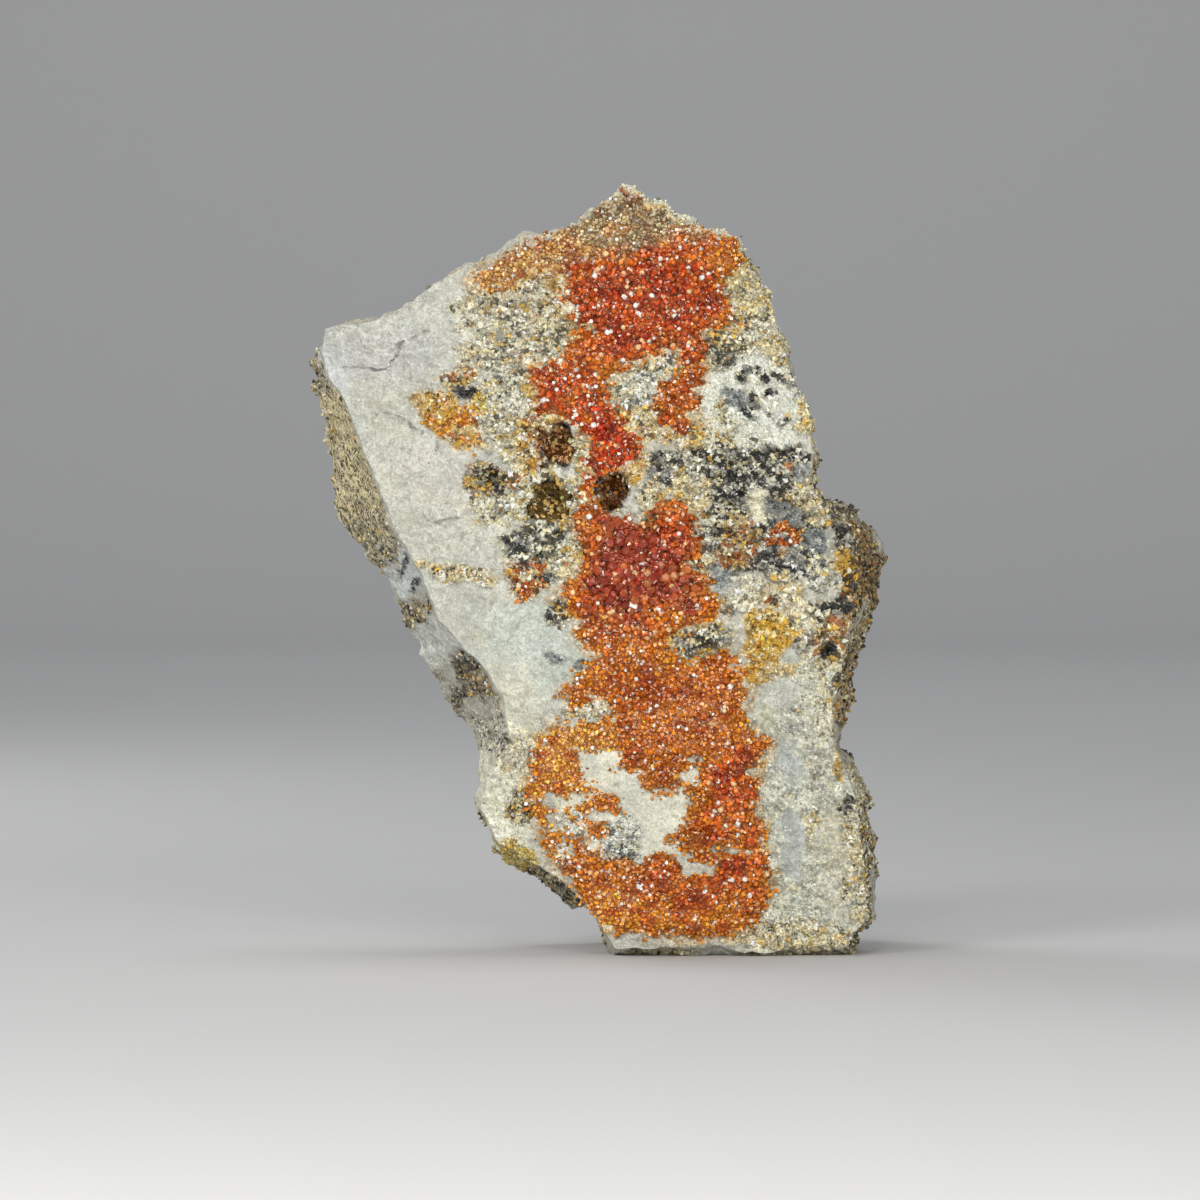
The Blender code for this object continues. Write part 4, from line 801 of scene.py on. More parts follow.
@dataclass(frozen=True)
class RockFinish:
    """Sugary to granular quartz: painted colours, pores, cracks, painted shade in the hollows and crevices of
    its bump, painted glints, and a fine broken bump.
    """

    name: str = "rock_finish"
    grain: float = 0.34
    roughness: tuple[float, float] = (0.42, 0.78)
    ior: float = QUARTZ_IOR
    cool: Colour = (0.44, 0.47, 0.43)
    frosted: Colour = (0.78, 0.80, 0.75)
    dip: Colour = (0.34, 0.34, 0.29)
    vein: Colour = (0.84, 0.85, 0.80)
    vein_shadow: Colour = (0.30, 0.30, 0.27)
    pale_grain: Colour = (0.92, 0.87, 0.64)
    dark_grain: Colour = (0.05, 0.04, 0.025)
    crevice_shade: Colour = (0.07, 0.05, 0.03)
    pore: Colour = (0.07, 0.06, 0.04)
    painted_glint: Colour = (0.93, 0.93, 0.88)
    pale_fibre: Colour = (0.92, 0.80, 0.48)
    dark_fibre: Colour = (0.07, 0.05, 0.02)
    crack: Colour = (0.11, 0.11, 0.11)

    def material(self) -> bpy.types.Material:
        """Builds the material."""
        bench = Bench(self.name)
        place = bench.place()
        coarse = bench.attribute("coarse", "Fac")
        smooth = 1 - coarse
        fine = bench.noise(place, self.grain, 4.0, 0.7)
        broad = bench.noise(place, 5.0, 3.0)
        frost = bench.noise(place, 1.1, 4.0, 0.65)
        level = bench.range(fine, 0.3, 0.7, 0.72, 1.06) * bench.range(broad, 0.3, 0.7, 0.9, 1.1)
        pepper = bench.noise(place, 0.45, 2.0)
        gain = bench.range(pepper, 0.43, 0.37, 0.0, 0.9) + bench.range(frost, 0.54, 0.62, 0.0, 0.5)
        colour = bench.shaded(bench.attribute("tint"), level * (1 + gain * coarse))
        cool = bench.range(bench.noise(place, 6.5, 3.0), 0.46, 0.66, 0.0, 0.5) * smooth
        colour = bench.mixed(cool, colour, self.cool)
        flecks = bench.range(frost, 0.55, 0.65, 0.0, 0.55) * smooth
        colour = bench.mixed(flecks, colour, self.frosted)
        # Painted shade in the hollows of the bump, where the frost noise is low.
        hollows = bench.range(frost, 0.45, 0.34, 0.0, 0.55) * smooth
        colour = bench.mixed(hollows, colour, self.dip)
        ridge = bench.noise(place, 2.2, 5.0, 0.62)
        here = bench.range(broad, 0.40, 0.56, 0.0, 0.6) * smooth
        seam = bench.range(ridge, 0.475, 0.5, 0.0, 1.0) * bench.range(ridge, 0.5, 0.525, 1.0, 0.0)
        colour = bench.mixed(seam * here, colour, self.vein)
        shadow = bench.range(ridge, 0.525, 0.55, 0.0, 0.6) * bench.range(ridge, 0.55, 0.59, 1.0, 0.0)
        colour = bench.mixed(shadow * here, colour, self.vein_shadow)
        colour = bench.mixed(bench.range(pepper, 0.43, 0.37, 0.0, 0.35) * coarse, colour, self.pale_grain)
        colour = bench.mixed(bench.range(pepper, 0.57, 0.63, 0.0, 0.8) * coarse, colour, self.dark_grain)
        # Painted shade in the crevices of the granular rock, where the bump is lowest.
        colour = bench.mixed(bench.range(frost, 0.40, 0.34, 0.0, 0.75) * coarse, colour, self.crevice_shade)
        pores = bench.range(bench.noise(place, 0.5, 2.0), 0.68, 0.74, 0.0, 0.8)
        colour = bench.mixed(pores * bench.range(coarse, 0.1, 0.9, 0.4, 1.0), colour, self.pore)
        # Painted glints: small white spots over the rock.
        painted_glints = bench.range(bench.noise(place, 0.3, 1.0), 0.67, 0.72, 0.0, 0.8)
        colour = bench.mixed(painted_glints, colour, self.painted_glint)
        streak = bench.attribute("streak", "Fac")
        fibre = bench.noise(bench.stretched(place, -23.0, 4.0), 0.32, 2.0, 0.7)
        pale = bench.range(fibre, 0.50, 0.46, 0.0, 0.8)
        colour = bench.mixed(pale * streak, colour, self.pale_fibre)
        dark = bench.range(fibre, 0.53, 0.57, 0.0, 0.9)
        colour = bench.mixed(dark * streak, colour, self.dark_fibre)
        crack = bench.attribute("crack", "Fac")
        crack = crack + bench.range(bench.noise(place, 0.8), 0.2, 0.8, -0.1, 0.1)
        line = bench.range(crack, 0.08, 0.26, 1.0, 0.0) * bench.range(broad, 0.42, 0.55, 0.55, 1.0)
        colour = bench.mixed(line * 0.8, colour, self.crack)
        height = fine * 0.35 + frost * 1.1 + ridge * 1.6 - line * 0.6 - dark * streak
        rough = bench.range(fine, 0.35, 0.7, *self.roughness)
        return bench.finish({"IOR": self.ior}, {
            "Base Color": colour, "Roughness": rough, "Normal": bench.bump(height, 0.35, 0.9)})


@dataclass(frozen=True)
class GrainFinish:
    """Single grains of quartz and ore: each keeps its own colour, slightly mottled."""

    name: str = "grain_finish"
    roughness: tuple[float, float] = (0.3, 0.7)
    ior: float = QUARTZ_IOR

    def material(self) -> bpy.types.Material:
        """Builds the material."""
        bench = Bench(self.name)
        mottle = bench.noise(bench.place(), 0.25, 2.0)
        colour = bench.shaded(bench.attribute("tint"), bench.range(mottle, 0.3, 0.7, 0.8, 1.15))
        return bench.finish({"IOR": self.ior}, {
            "Base Color": colour, "Roughness": bench.range(mottle, 0.3, 0.7, *self.roughness)})


@dataclass(frozen=True)
class CrystalFinish:
    """Vanadinite or the brown crystals of the hollows: a glassy, nearly adamantine lustre."""

    name: str
    ior: float
    roughness: tuple[float, float]
    gloss: Colour = (1.0, 0.90, 0.72)
    mottle: float = 0.3
    depth: float = 0.05

    def material(self) -> bpy.types.Material:
        """Builds the material."""
        bench = Bench(self.name)
        place = bench.place()
        cloud = bench.noise(place, self.mottle, 3.0, 0.65)
        broad = bench.noise(place, 1.4, 2.0)
        level = bench.range(cloud, 0.3, 0.72, 0.72, 1.25)
        colour = bench.shaded(bench.attribute("tint"), level)
        rough = bench.range(broad, 0.35, 0.65, *self.roughness)
        return bench.finish({"IOR": self.ior, "Specular Tint": self.gloss}, {
            "Base Color": colour, "Roughness": rough,
            "Normal": bench.bump(cloud, self.depth, 0.35)})


# ------------------------------------------------------------------ the crystal face
PITS = (
    Pit(-5.6, 66.4, 2.0, 2.9, 5.0, 51, "upper_hollow_lining", turn=30, ragged=0.45),
    Pit(-6.7, 58.6, 2.8, 2.9, 5.5, 52, "middle_hollow_lining"),
    Pit(1.6, 60.0, 1.9, 2.2, 4.0, 53, "right_hollow_lining", turn=-10, ragged=0.5),
)
POCKETS = (
    Pit(-14.2, 61.5, 1.9, 1.6, 1.6, 54),
    Pit(29.2, 39.6, 1.0, 1.1, 1.8, 55),
    Pit(-16.8, 72.6, 1.4, 0.9, 0.9, 56),
    Pit(-11.2, 52.6, 0.8, 0.7, 0.8, 57),
    Pit(-8.0, 51.8, 1.0, 0.7, 0.9, 58),
    Pit(22.0, 61.9, 1.1, 0.8, 0.9, 59),
)


@dataclass(frozen=True)
class CrystalFace:
    """The broken front face of the rock, on which the crystals grew."""

    depth: float = 13.0
    roughness: float = 0.45
    grain_roughness: float = 1.1
    quartz_relief: float = 0.25
    grain_relief: float = 0.9
    swells: tuple[Swell, ...] = (
        Swell(2.0, 50.0, 40.0, 60.0, 4.0),     # the whole face is gently domed
        Swell(3.0, 104.0, 14.0, 10.0, -5.0),   # the peak leans back
        Swell(-40.0, 75.0, 14.0, 22.0, -3.0),  # the quartz falls away to the left
        Swell(7.0, 85.0, 13.0, 8.0, 1.2),      # upper crust
        Swell(-4.0, 61.0, 9.0, 8.0, -1.6),     # belt of hollows
        Swell(5.5, 51.0, 7.0, 7.0, -2.2),      # bowl with the darkest crystals
        Swell(21.0, 60.0, 9.0, 8.0, 1.5),      # dark granular swell
        Swell(41.0, 50.0, 8.0, 14.0, -9.0),    # the knob curves back at the right edge
        Swell(12.3, 40.9, 4.6, 2.0, 2.2, turn=15),     # lump of grey rock through the crust
        Swell(5.0, 33.5, 6.0, 4.0, -1.6),      # shaded dip below the lump
        Swell(12.0, 17.0, 11.0, 16.0, 2.0),    # lower crust
        Swell(-16.0, 15.0, 9.0, 12.0, -5.0),   # lower left corner falls away
        Swell(28.0, 15.0, 8.0, 20.0, -1.0),    # lower right quartz
        Swell(-14.2, 61.5, 2.2, 1.9, -2.6),    # shallow pocket left of the hollows
    )
    rough_areas: tuple[Swell, ...] = (
        Swell(20.0, 59.0, 11.0, 9.0, 1.0),
        Swell(34.0, 52.0, 5.0, 9.0, 1.0),
        Swell(-9.0, 83.0, 8.0, 5.0, 0.6, turn=20),
        Swell(-9.0, 61.0, 9.0, 9.0, 0.8),
        Swell(-6.0, 12.0, 6.0, 10.0, 0.7, turn=-40),
    )

    def plain_y(self, x: Array, z: Array) -> Array:
        """Depth of the face without its finest relief: the solid's own formula."""
        place = on_plane(x, z)
        rough = self.roughness * Noise(7.0, 5).at(place)
        grain = self.grain_roughness * Noise(3.6, 7).at(place) * swell_sum(x, z, self.rough_areas)
        return -(self.depth + swell_sum(x, z, self.swells) + rough + grain)

    def paint(self, x: Array, z: Array) -> Paint:
        """Colours and mixtures of the face at (x, z)."""
        laid = Paint.plain(len(x), QUARTZ, Speckle.SUGAR)
        laid.lay_patches(x, z, FACE_PATCHES)
        halo = CRUST_OUTLINE.depth(x, z) + 1.6 * Noise(3.4, 79, 4).over(x, z)
        share = 0.5 * ease(-1.6, 0.2, halo) * ease(2.0, 0.8, halo)
        laid.lay(share, (0.56, 0.30, 0.08), Speckle.OCHRE)
        return laid

    @staticmethod
    def crumbs(place: Array) -> Array:
        """Rounded lumps with creases between them: sizes of noise without their sign, 0 to about 1.3."""
        return 1.5 * np.abs(Noise(1.7, 85).at(place)) + 0.7 * np.abs(Noise(0.8, 87).at(place))

    def y(self, x: Array, z: Array, coarse: Array) -> Array:
        """Depth of the face with its grain, ledges and hollows.

        Args:
            x: places across.
            z: heights.
            coarse: coarseness of the rock there.

        Returns:
            Y in millimetres; more negative is nearer to the viewer.
        """
        place = on_plane(x, z)
        sugar = self.quartz_relief * (Noise(1.7, 81, 4).at(place) + Noise(8.0, 83, 3).ledges(place, 2.5))
        crumbs = self.grain_relief * coarse * (self.crumbs(place) - 0.5)
        sunk = sum((pit.fall(x, z) for pit in PITS + POCKETS), np.zeros(np.shape(x)))
        return self.plain_y(x, z) - sugar - crumbs + sunk

    def normals(self, x: Array, z: Array, step: float = 0.5) -> Array:
        """Directions in which the plain face looks: (dy/dx, -1, dy/dz) brought to length 1."""
        slope_x = (self.plain_y(x + step, z) - self.plain_y(x - step, z)) / (2 * step)
        slope_z = (self.plain_y(x, z + step) - self.plain_y(x, z - step)) / (2 * step)
        return unit(np.stack([slope_x, np.full_like(slope_x, -1.0), slope_z], axis=-1))


# ------------------------------------------------------------------ the rock
@dataclass(frozen=True)
class Ground:
    """Points of the rock's sides and back on which loose grains may stand."""

    points: Array
    coarse: Array
    streak: Array
    tints: Array


@dataclass
class QuartzMatrix:
    """The broken quartz rock: front face, the ring of its greatest width, back and base.

    Each ring has four sides, listed between the same four corners: top left, top right, bottom
    right and bottom left.  Tops and bottoms run left to right and sides run down.
    """

    face: CrystalFace
    ground: Ground = field(init=False)
    columns: int = 160
    rows: int = 280
    near_rows: int = 27
    far_rows: int = 30
    evening_rounds: int = 90
    rim_ragged: float = 0.3
    girth_ragged: float = 0.45
    wall_depth: float = 1.5
    back_roughness: float = 1.3
    middle: tuple[float, float] = (2.0, 50.0)
    front_top: tuple[Point2, ...] = (
        (-35.5, 81.0), (-33.0, 81.5), (-29.0, 82.0), (-26.0, 83.5), (-23.0, 85.5), (-20.0, 87.5),
        (-17.5, 89.0), (-15.0, 89.5), (-11.5, 91.5), (-10.0, 93.0), (-7.5, 93.0), (-3.0, 94.5),
        (-1.5, 96.0), (1.0, 97.5), (3.0, 99.5), (5.0, 98.5), (6.5, 97.0), (8.0, 97.0),
        (9.6, 95.3), (12.5, 94.0), (15.5, 93.0), (18.0, 92.5),
    )
    front_right: tuple[Point2, ...] = (
        (18.0, 92.5), (18.5, 90.0), (20.5, 87.0), (22.0, 85.5), (22.5, 82.0), (23.5, 78.5),
        (25.0, 74.0), (27.0, 70.0), (27.0, 67.0), (27.5, 65.0), (27.0, 61.0), (28.5, 59.0),
        (30.0, 57.5), (32.0, 55.5), (33.0, 53.0), (33.5, 49.5), (33.0, 46.0), (32.0, 42.0),
        (31.5, 39.0), (31.0, 35.5), (30.0, 32.5), (30.0, 29.5), (30.5, 26.5), (32.0, 23.5),
        (33.0, 20.5), (33.5, 16.5), (34.0, 12.5), (34.0, 9.5), (34.5, 6.5), (34.0, 4.0),
        (32.0, 2.5), (32.0, 1.0),
    )
    front_left: tuple[Point2, ...] = (
        (-35.5, 81.0), (-36.0, 78.5), (-35.0, 74.5), (-33.5, 73.0), (-32.5, 70.5), (-31.5, 68.0),
        (-30.0, 64.0), (-27.5, 58.5), (-26.5, 55.5), (-25.0, 52.5), (-23.0, 49.5), (-22.0, 46.5),
        (-20.5, 43.5), (-18.0, 40.5), (-16.0, 38.5), (-14.0, 36.0), (-12.5, 33.5), (-12.0, 30.5),
        (-11.0, 27.5), (-12.5, 26.0), (-14.5, 23.5), (-15.0, 21.0), (-15.5, 19.0), (-14.0, 16.5),
        (-13.0, 14.5), (-10.5, 13.0), (-7.5, 11.5), (-5.0, 10.0), (-2.5, 7.5), (0.0, 4.5),
        (2.0, 1.0),
    )
    front_bottom: tuple[Point2, ...] = (
        (2.0, 1.0), (5.5, 1.1), (7.0, 1.0), (9.0, 1.3), (12.5, 1.2), (15.5, 1.3), (17.0, 0.9),
        (18.5, 0.4), (21.0, 0.4), (23.5, 0.6), (26.5, 1.0), (30.0, 1.1), (32.0, 1.0),
    )
    girth_top: tuple[tuple[float, ...], ...] = (
        (-35.5, 81.0, 5), (-33.5, 82.0, 4), (-29.0, 82.5, 3), (-26.0, 84.0, 2), (-23.0, 86.0, 0),
        (-20.5, 87.5, -1), (-17.5, 89.5, -3), (-15.5, 89.5, -4), (-12.0, 92.0, -6),
        (-10.0, 93.5, -7), (-7.5, 93.5, -7), (-3.0, 95.0, -6), (-1.5, 96.5, -5), (1.0, 98.0, -4),
        (3.0, 100.0, -3), (5.5, 98.5, -3), (6.5, 97.5, -4), (8.0, 97.5, -4), (9.8, 95.8, -5),
        (12.5, 94.5, -7), (15.5, 93.5, -8), (18.0, 93.0, -8),
    )
    girth_right: tuple[tuple[float, ...], ...] = (
        (18.0, 93.0, -8), (19.0, 90.5, -9), (21.0, 87.5, -9), (22.0, 85.5, -9), (23.0, 82.0, -9),
        (24.0, 79.0, -9), (25.5, 74.0, -9), (27.5, 70.0, -9), (27.5, 67.0, -9), (28.5, 65.5, -9),
        (28.0, 61.0, -8), (29.0, 59.0, -6), (31.0, 58.5, -2), (33.5, 57.5, 0), (34.0, 56.0, 2),
        (35.5, 55.0, 3), (37.0, 53.0, 3), (37.5, 51.0, 3), (36.5, 49.0, 3), (36.0, 44.0, 3),
        (35.0, 41.0, 2), (33.5, 38.0, 0), (33.0, 36.0, -2), (33.0, 33.5, -3), (32.0, 31.0, -3),
        (31.5, 29.0, -3), (31.5, 26.5, -3), (33.0, 25.0, -3), (35.0, 20.5, -3), (35.0, 16.5, -3),
        (35.5, 11.5, -4), (36.0, 9.0, -5), (36.0, 6.0, -6), (35.5, 3.5, -7), (33.5, 2.5, -8),
        (33.5, -1.0, -9),
    )
    girth_left: tuple[tuple[float, ...], ...] = (
        (-35.5, 81.0, 5), (-37.0, 78.0, 5), (-37.5, 75.5, 5), (-37.0, 72.5, 5), (-36.0, 69.5, 5),
        (-35.5, 65.5, 5), (-34.5, 62.5, 5), (-34.5, 58.5, 6), (-34.0, 56.0, 6), (-32.0, 53.5, 6),
        (-29.5, 50.0, 6), (-27.5, 47.0, 6), (-25.0, 42.0, 5), (-23.0, 38.0, 5), (-21.0, 33.5, 4),
        (-19.0, 31.0, 3), (-17.5, 29.0, 3), (-16.0, 27.0, 2), (-16.0, 23.5, 1), (-15.5, 21.5, 0),
        (-16.5, 20.0, -1), (-16.0, 18.5, -1), (-15.0, 16.0, 0), (-14.0, 13.5, 2),
        (-12.5, 11.5, 3), (-8.0, 9.0, 4), (-5.5, 7.0, 3), (-3.5, 5.0, 1), (-2.0, 5.5, -1),
        (0.0, 3.0, -5), (1.5, -1.0, -8),
    )
    girth_bottom: tuple[tuple[float, ...], ...] = (
        (1.5, -1.0, -8), (7.5, -1.2, -9), (15.5, -1.2, -9), (26.0, -1.2, -9), (33.5, -1.0, -9),
    )
    back_top: tuple[Point2, ...] = (
        (-31.0, 76.5), (-22.0, 82.0), (-10.0, 88.5), (2.0, 91.5), (10.0, 90.0), (14.0, 89.0),
    )
    back_right: tuple[Point2, ...] = (
        (14.0, 89.0), (20.0, 80.0), (24.0, 66.0), (30.0, 55.0), (31.0, 46.0), (28.0, 34.0),
        (29.0, 22.0), (31.0, 10.0), (31.0, -1.0),
    )
    back_left: tuple[Point2, ...] = (
        (-31.0, 76.5), (-33.0, 68.0), (-31.5, 58.0), (-27.0, 49.5), (-21.0, 39.0), (-15.0, 29.0),
        (-12.0, 19.0), (-8.0, 11.5), (-1.5, 6.0), (3.5, -1.0),
    )
    back_bottom: tuple[Point2, ...] = ((3.5, -1.0), (15.0, -1.2), (31.0, -1.0))
    # Broken planes of the back: y at the origin, slope along x, slope along z.
    back_planes: tuple[tuple[float, float, float], ...] = (
        (14.0, 0.42, 0.0), (26.0, 0.02, 0.0), (36.0, 0.10, -0.25), (46.0, -0.75, 0.0),
        (21.0, 0.08, 0.13),
    )

    @staticmethod
    def split(corners: tuple, count: int) -> Array:
        """The run of corners as count pieces of nearly equal length, which keep the corners."""
        line = np.array(corners, float)
        steps = np.linalg.norm(np.diff(line[:, :2], axis=0), axis=1)
        along = np.concatenate([[0.0], np.cumsum(steps)])
        wanted = np.linspace(0.0, along[-1], count + 1)
        wanted[np.rint(count * along / along[-1]).astype(int)] = along
        return np.stack([np.interp(wanted, along, column) for column in line.T], axis=-1)

    @staticmethod
    def ring(top: Array, right: Array, bottom: Array, left: Array) -> Array:
        """Four sides as one closed run: clockwise as the front is looked at."""
        return np.concatenate([top[:-1], right[:-1], bottom[:0:-1], left[:0:-1]])

    @staticmethod
    def rim(rows: int, columns: int) -> Array:
        """Numbers of a grid's outermost points, in the order of ring()."""
        index = np.arange(rows * columns).reshape(rows, columns)
        return QuartzMatrix.ring(index[0], index[:, -1], index[-1], index[:, 0])

    def ragged(self, line: Array, reach: float, seed: int) -> Array:
        """The line moved to and from the middle by fine noise, which leaves its ends in place."""
        away = line[:, :2] - np.array(self.middle)
        away /= np.linalg.norm(away, axis=1, keepdims=True)
        shift = reach * Noise(2.2, seed, 3).over(line[:, 0], line[:, 1])
        shift[[0, -1]] = 0.0
        moved = line.copy()
        moved[:, :2] += away * shift[:, None]
        return moved

    def filled(self, top: Array, right: Array, bottom: Array, left: Array, rounds: int) -> Array:
        """A grid between four sides that share their corners.

        It adds the blends of opposite sides and takes away the blend of the corners, and then
        each inner point is moved to the mean of its four neighbours, round after round.
        """
        u = np.linspace(0, 1, len(top))[None, :, None]
        v = np.linspace(0, 1, len(left))[:, None, None]
        across = (1 - v) * top[None] + v * bottom[None]
        down = (1 - u) * left[:, None] + u * right[:, None]
        upper, lower = (1 - u) * top[0] + u * top[-1], (1 - u) * bottom[0] + u * bottom[-1]
        grid = across + down - ((1 - v) * upper + v * lower)
        for _ in range(rounds):
            around = grid[:-2, 1:-1] + grid[2:, 1:-1] + grid[1:-1, :-2] + grid[1:-1, 2:]
            grid[1:-1, 1:-1] = around / 4
        return grid

    def outline(self) -> Outline:
        """Outline of the front face, clockwise from its upper left corner."""
        return Outline(self.front_top + self.front_right[1:] + self.front_bottom[-2::-1]
                       + self.front_left[-2:0:-1])

    def sides(self, corners: tuple[tuple, ...], reach: float, seed: int) -> list[Array]:
        """Four ragged sides, from the corners of the top, the right, the bottom and the left."""
        counts = (self.columns, self.rows, self.columns, self.rows)
        return [self.ragged(self.split(side, count), reach, seed) for side, count in zip(corners, counts)]

    def front(self) -> tuple[Array, Paint]:
        """Points of the front face in row order, and their paint."""
        corners = self.front_top, self.front_right, self.front_bottom, self.front_left
        flat = self.filled(*self.sides(corners, self.rim_ragged, 91), self.evening_rounds).reshape(-1, 2)
        x, z = flat[:, 0], flat[:, 1]
        laid = self.face.paint(x, z)
        return np.stack([x, self.face.y(x, z, laid.coarse), z], axis=-1), laid

    def girth(self) -> Array:
        """Points of the widest ring."""
        corners = self.girth_top, self.girth_right, self.girth_bottom, self.girth_left
        return self.ring(*self.sides(corners, self.girth_ragged, 93))[:, [0, 2, 1]]

    def back(self) -> Array:
        """Points of the back face in row order: the nearest of its broken planes, with ledges."""
        columns, rows = self.columns // 2, self.rows // 2
        flat = self.filled(self.split(self.back_top, columns), self.split(self.back_right, rows),
                           self.split(self.back_bottom, columns), self.split(self.back_left, rows),
                           self.evening_rounds // 4).reshape(-1, 2)
        x, z = flat[:, 0], flat[:, 1]
        y = np.min([start + a * x + b * z for start, a, b in self.back_planes], axis=0)
        place = np.stack([x, np.full_like(x, 40.0), z], axis=-1)
        y = y + self.back_roughness * Noise(9.0, 11).at(place)
        return np.stack([x, y, z], axis=-1)

    def wall(self, near: Array, far: Array, share: float) -> Array:
        """A ring part of the way from near to far, broken inwards by noise and ledges.

        Args:
            near: the ring it starts from.
            far: the ring it goes to.
            share: how far between them.

        Returns:
            Points of the ring.
        """
        points = near + share * (far - near)
        middle = np.array([self.middle[0], 0.0, self.middle[1]])
        inwards = unit((middle - points) * np.array([1.0, 0.0, 1.0]))
        depth = self.wall_depth * 0.5 * (1 + Noise(8.0, 21).at(points))
        depth = depth * math.sin(math.pi * share) * ease(-0.5, 6.0, points[:, 2])
        return points + inwards * depth[:, None]

    @staticmethod
    def side_paint(points: Array) -> Paint:
        """Colours of the broken sides and back, from noise all through the rock."""
        laid = Paint.plain(len(points), (0.54, 0.51, 0.41), Speckle.DUSTY)
        laid.clump = 0.5
        clouds = Noise(15.0, 301, 4).at(points)
        laid.lay(ease(0.02, 0.34, clouds), (0.40, 0.35, 0.21), Speckle.BROWN)
        laid.lay(ease(-0.12, -0.45, clouds) * 0.8, (0.62, 0.61, 0.54), Speckle.SUGAR)
        iron = Noise(8.0, 305, 4).at(points)
        laid.lay(ease(0.28, 0.55, iron), (0.46, 0.29, 0.09), Speckle.OCHRE)
        dark = Noise(6.0, 307, 4).at(points)
        laid.lay(ease(0.34, 0.58, dark), (0.17, 0.14, 0.09), Speckle.BROWN)
        return laid

    def relief(self, points: Array, coarse: Array, share: Array) -> Array:
        """Moves points of the sides and back by broken ledges, pebbly where the rock is granular.

        Args:
            points: places before.
            coarse: coarseness there.
            share: how much of the relief to use, 0 at the rims that join other surfaces.

        Returns:
            Places after.
        """
        away = points - np.array([self.middle[0], 8.0, self.middle[1]])
        away[:, 2] *= 0.35
        step = 0.55 * Noise(7.0, 311, 3).ledges(points, 2.2) + 0.16 * Noise(1.8, 313, 4).at(points)
        step = step + 0.6 * coarse * (self.face.crumbs(points) - 0.5)
        return points + unit(away) * (step * share)[:, None]

    def back_rim(self) -> Array:
        """Numbers of the back's outermost points: it has half the rows and columns of the front."""
        return self.rim(self.rows // 2 + 1, self.columns // 2 + 1)

    def rings(self, front: Array, back: Array) -> list[Array]:
        """Rings of points from the front's rim over the widest ring to the back's rim."""
        girth = self.girth()
        start, end = front[self.rim(self.rows + 1, self.columns + 1)], back[self.back_rim()]
        near = [self.wall(start, girth, step / self.near_rows) for step in range(1, self.near_rows)]
        far = [self.wall(girth[::2], end, step / self.far_rows) for step in range(1, self.far_rows)]
        return [*near, girth, *far]

    def faces(self, front_size: int, ring_size: int) -> list[Array]:
        """Faces of the front, the rings and the back, whose points are numbered in that order.

        Args:
            front_size: number of points in the front.
            ring_size: number of points in a ring, which is halved behind the widest ring.

        Returns:
            Groups of faces.
        """
        rows, columns = self.rows + 1, self.columns + 1
        faces, last, start = [grid_quads(rows, columns)], self.rim(rows, columns), front_size
        for step in range(self.near_rows + self.far_rows - 1):
            thin = step == self.near_rows
            size = ring_size if step < self.near_rows else ring_size // 2
            following = start + np.arange(size)
            faces.append((thinning_triangles if thin else band_quads)(last, following))
            last, start = following, start + size
        faces.append(band_quads(last, start + self.back_rim()))
        faces.append(start + grid_quads(self.rows // 2 + 1, self.columns // 2 + 1, over=True))
        return faces

    @staticmethod
    def crack_distance(flat: Array) -> Array:
        """Distance of points of the face from the nearest crack, which noise bends."""
        bent_x = flat[:, 0] + 0.7 * Noise(2.4, 95, 4).at(flat)
        bent_z = flat[:, 2] + 0.7 * Noise(2.4, 97, 4).at(flat)
        return np.min([line.distance(bent_x, bent_z) for line in CRACKS], axis=0)

    def build(self, material: bpy.types.Material) -> bpy.types.Object:
        """Makes the rock as one closed mesh, and notes the ground for loose grains."""
        rng = np.random.default_rng(5)
        front, front_paint = self.front()
        back = self.back()
        rings = self.rings(front, back)
        rest = np.concatenate([*rings, back])
        order = np.concatenate([np.full(len(ring), step) for step, ring in enumerate([*rings, back])])
        near, away = order < self.near_rows, np.minimum(1.0, order / 3.0)

        # The face's colours run over the rim, and those of the left side fade towards the back.
        fading = ease(9.0, -3.0, order - self.near_rows + 4.0 * Noise(5.0, 309, 3).at(rest))
        wander = 5.0 * ease(8.0, 20.0, order)
        side_x = rest[:, 0] + wander * Noise(9.0, 310, 3).at(rest)
        side_z = rest[:, 2] + wander * Noise(9.0, 311, 3).at(rest)
        paint = self.side_paint(rest)
        paint.lay_patches(side_x, side_z, SIDE_PATCHES, fading)
        paint.fade_from(self.face.paint(rest[near][:, 0], rest[near][:, 2]), near, away[near])
        rest = self.relief(rest, paint.coarse, np.where(near, away, 1.0))
        points = np.concatenate([front, rest])
        points[:, 2] = np.maximum(points[:, 2], 0.0)

        flat = on_plane(front[:, 0], front[:, 2])
        crack = np.concatenate([self.crack_distance(flat), np.full(len(rest), 9.0)])
        creases = np.concatenate([self.face.crumbs(flat), self.face.crumbs(rest)])
        tint = np.concatenate([front_paint.grain_colours(flat, rng, 0.6),
                               paint.grain_colours(rest, rng, 0.3)])
        coarse = np.concatenate([front_paint.coarse, paint.coarse])
        left = STREAKS.share(side_x, side_z, Noise(4.0, 312, 3).at(rest)) * fading * away
        streak = np.concatenate([np.zeros(len(front)), left])
        # Painted shade: the granular rock's colour is darkened in the creases between its lumps.
        tint = tint * (1 - 0.72 * coarse * ease(0.5, 0.12, creases))[:, None]
        shape = Shape()
        shape.add(points, self.faces(len(front), len(rings[0])), tint=tint, crack=crack, coarse=coarse,
                  streak=streak)
        LOG.info("rock: %d triangles", shape.triangles())
        self.ground = Ground(rest, paint.coarse, left, paint.grain_colours(rest, rng, 0.85))
        return shape.as_object("broken_quartz_rock", material, sharp_degrees=50)


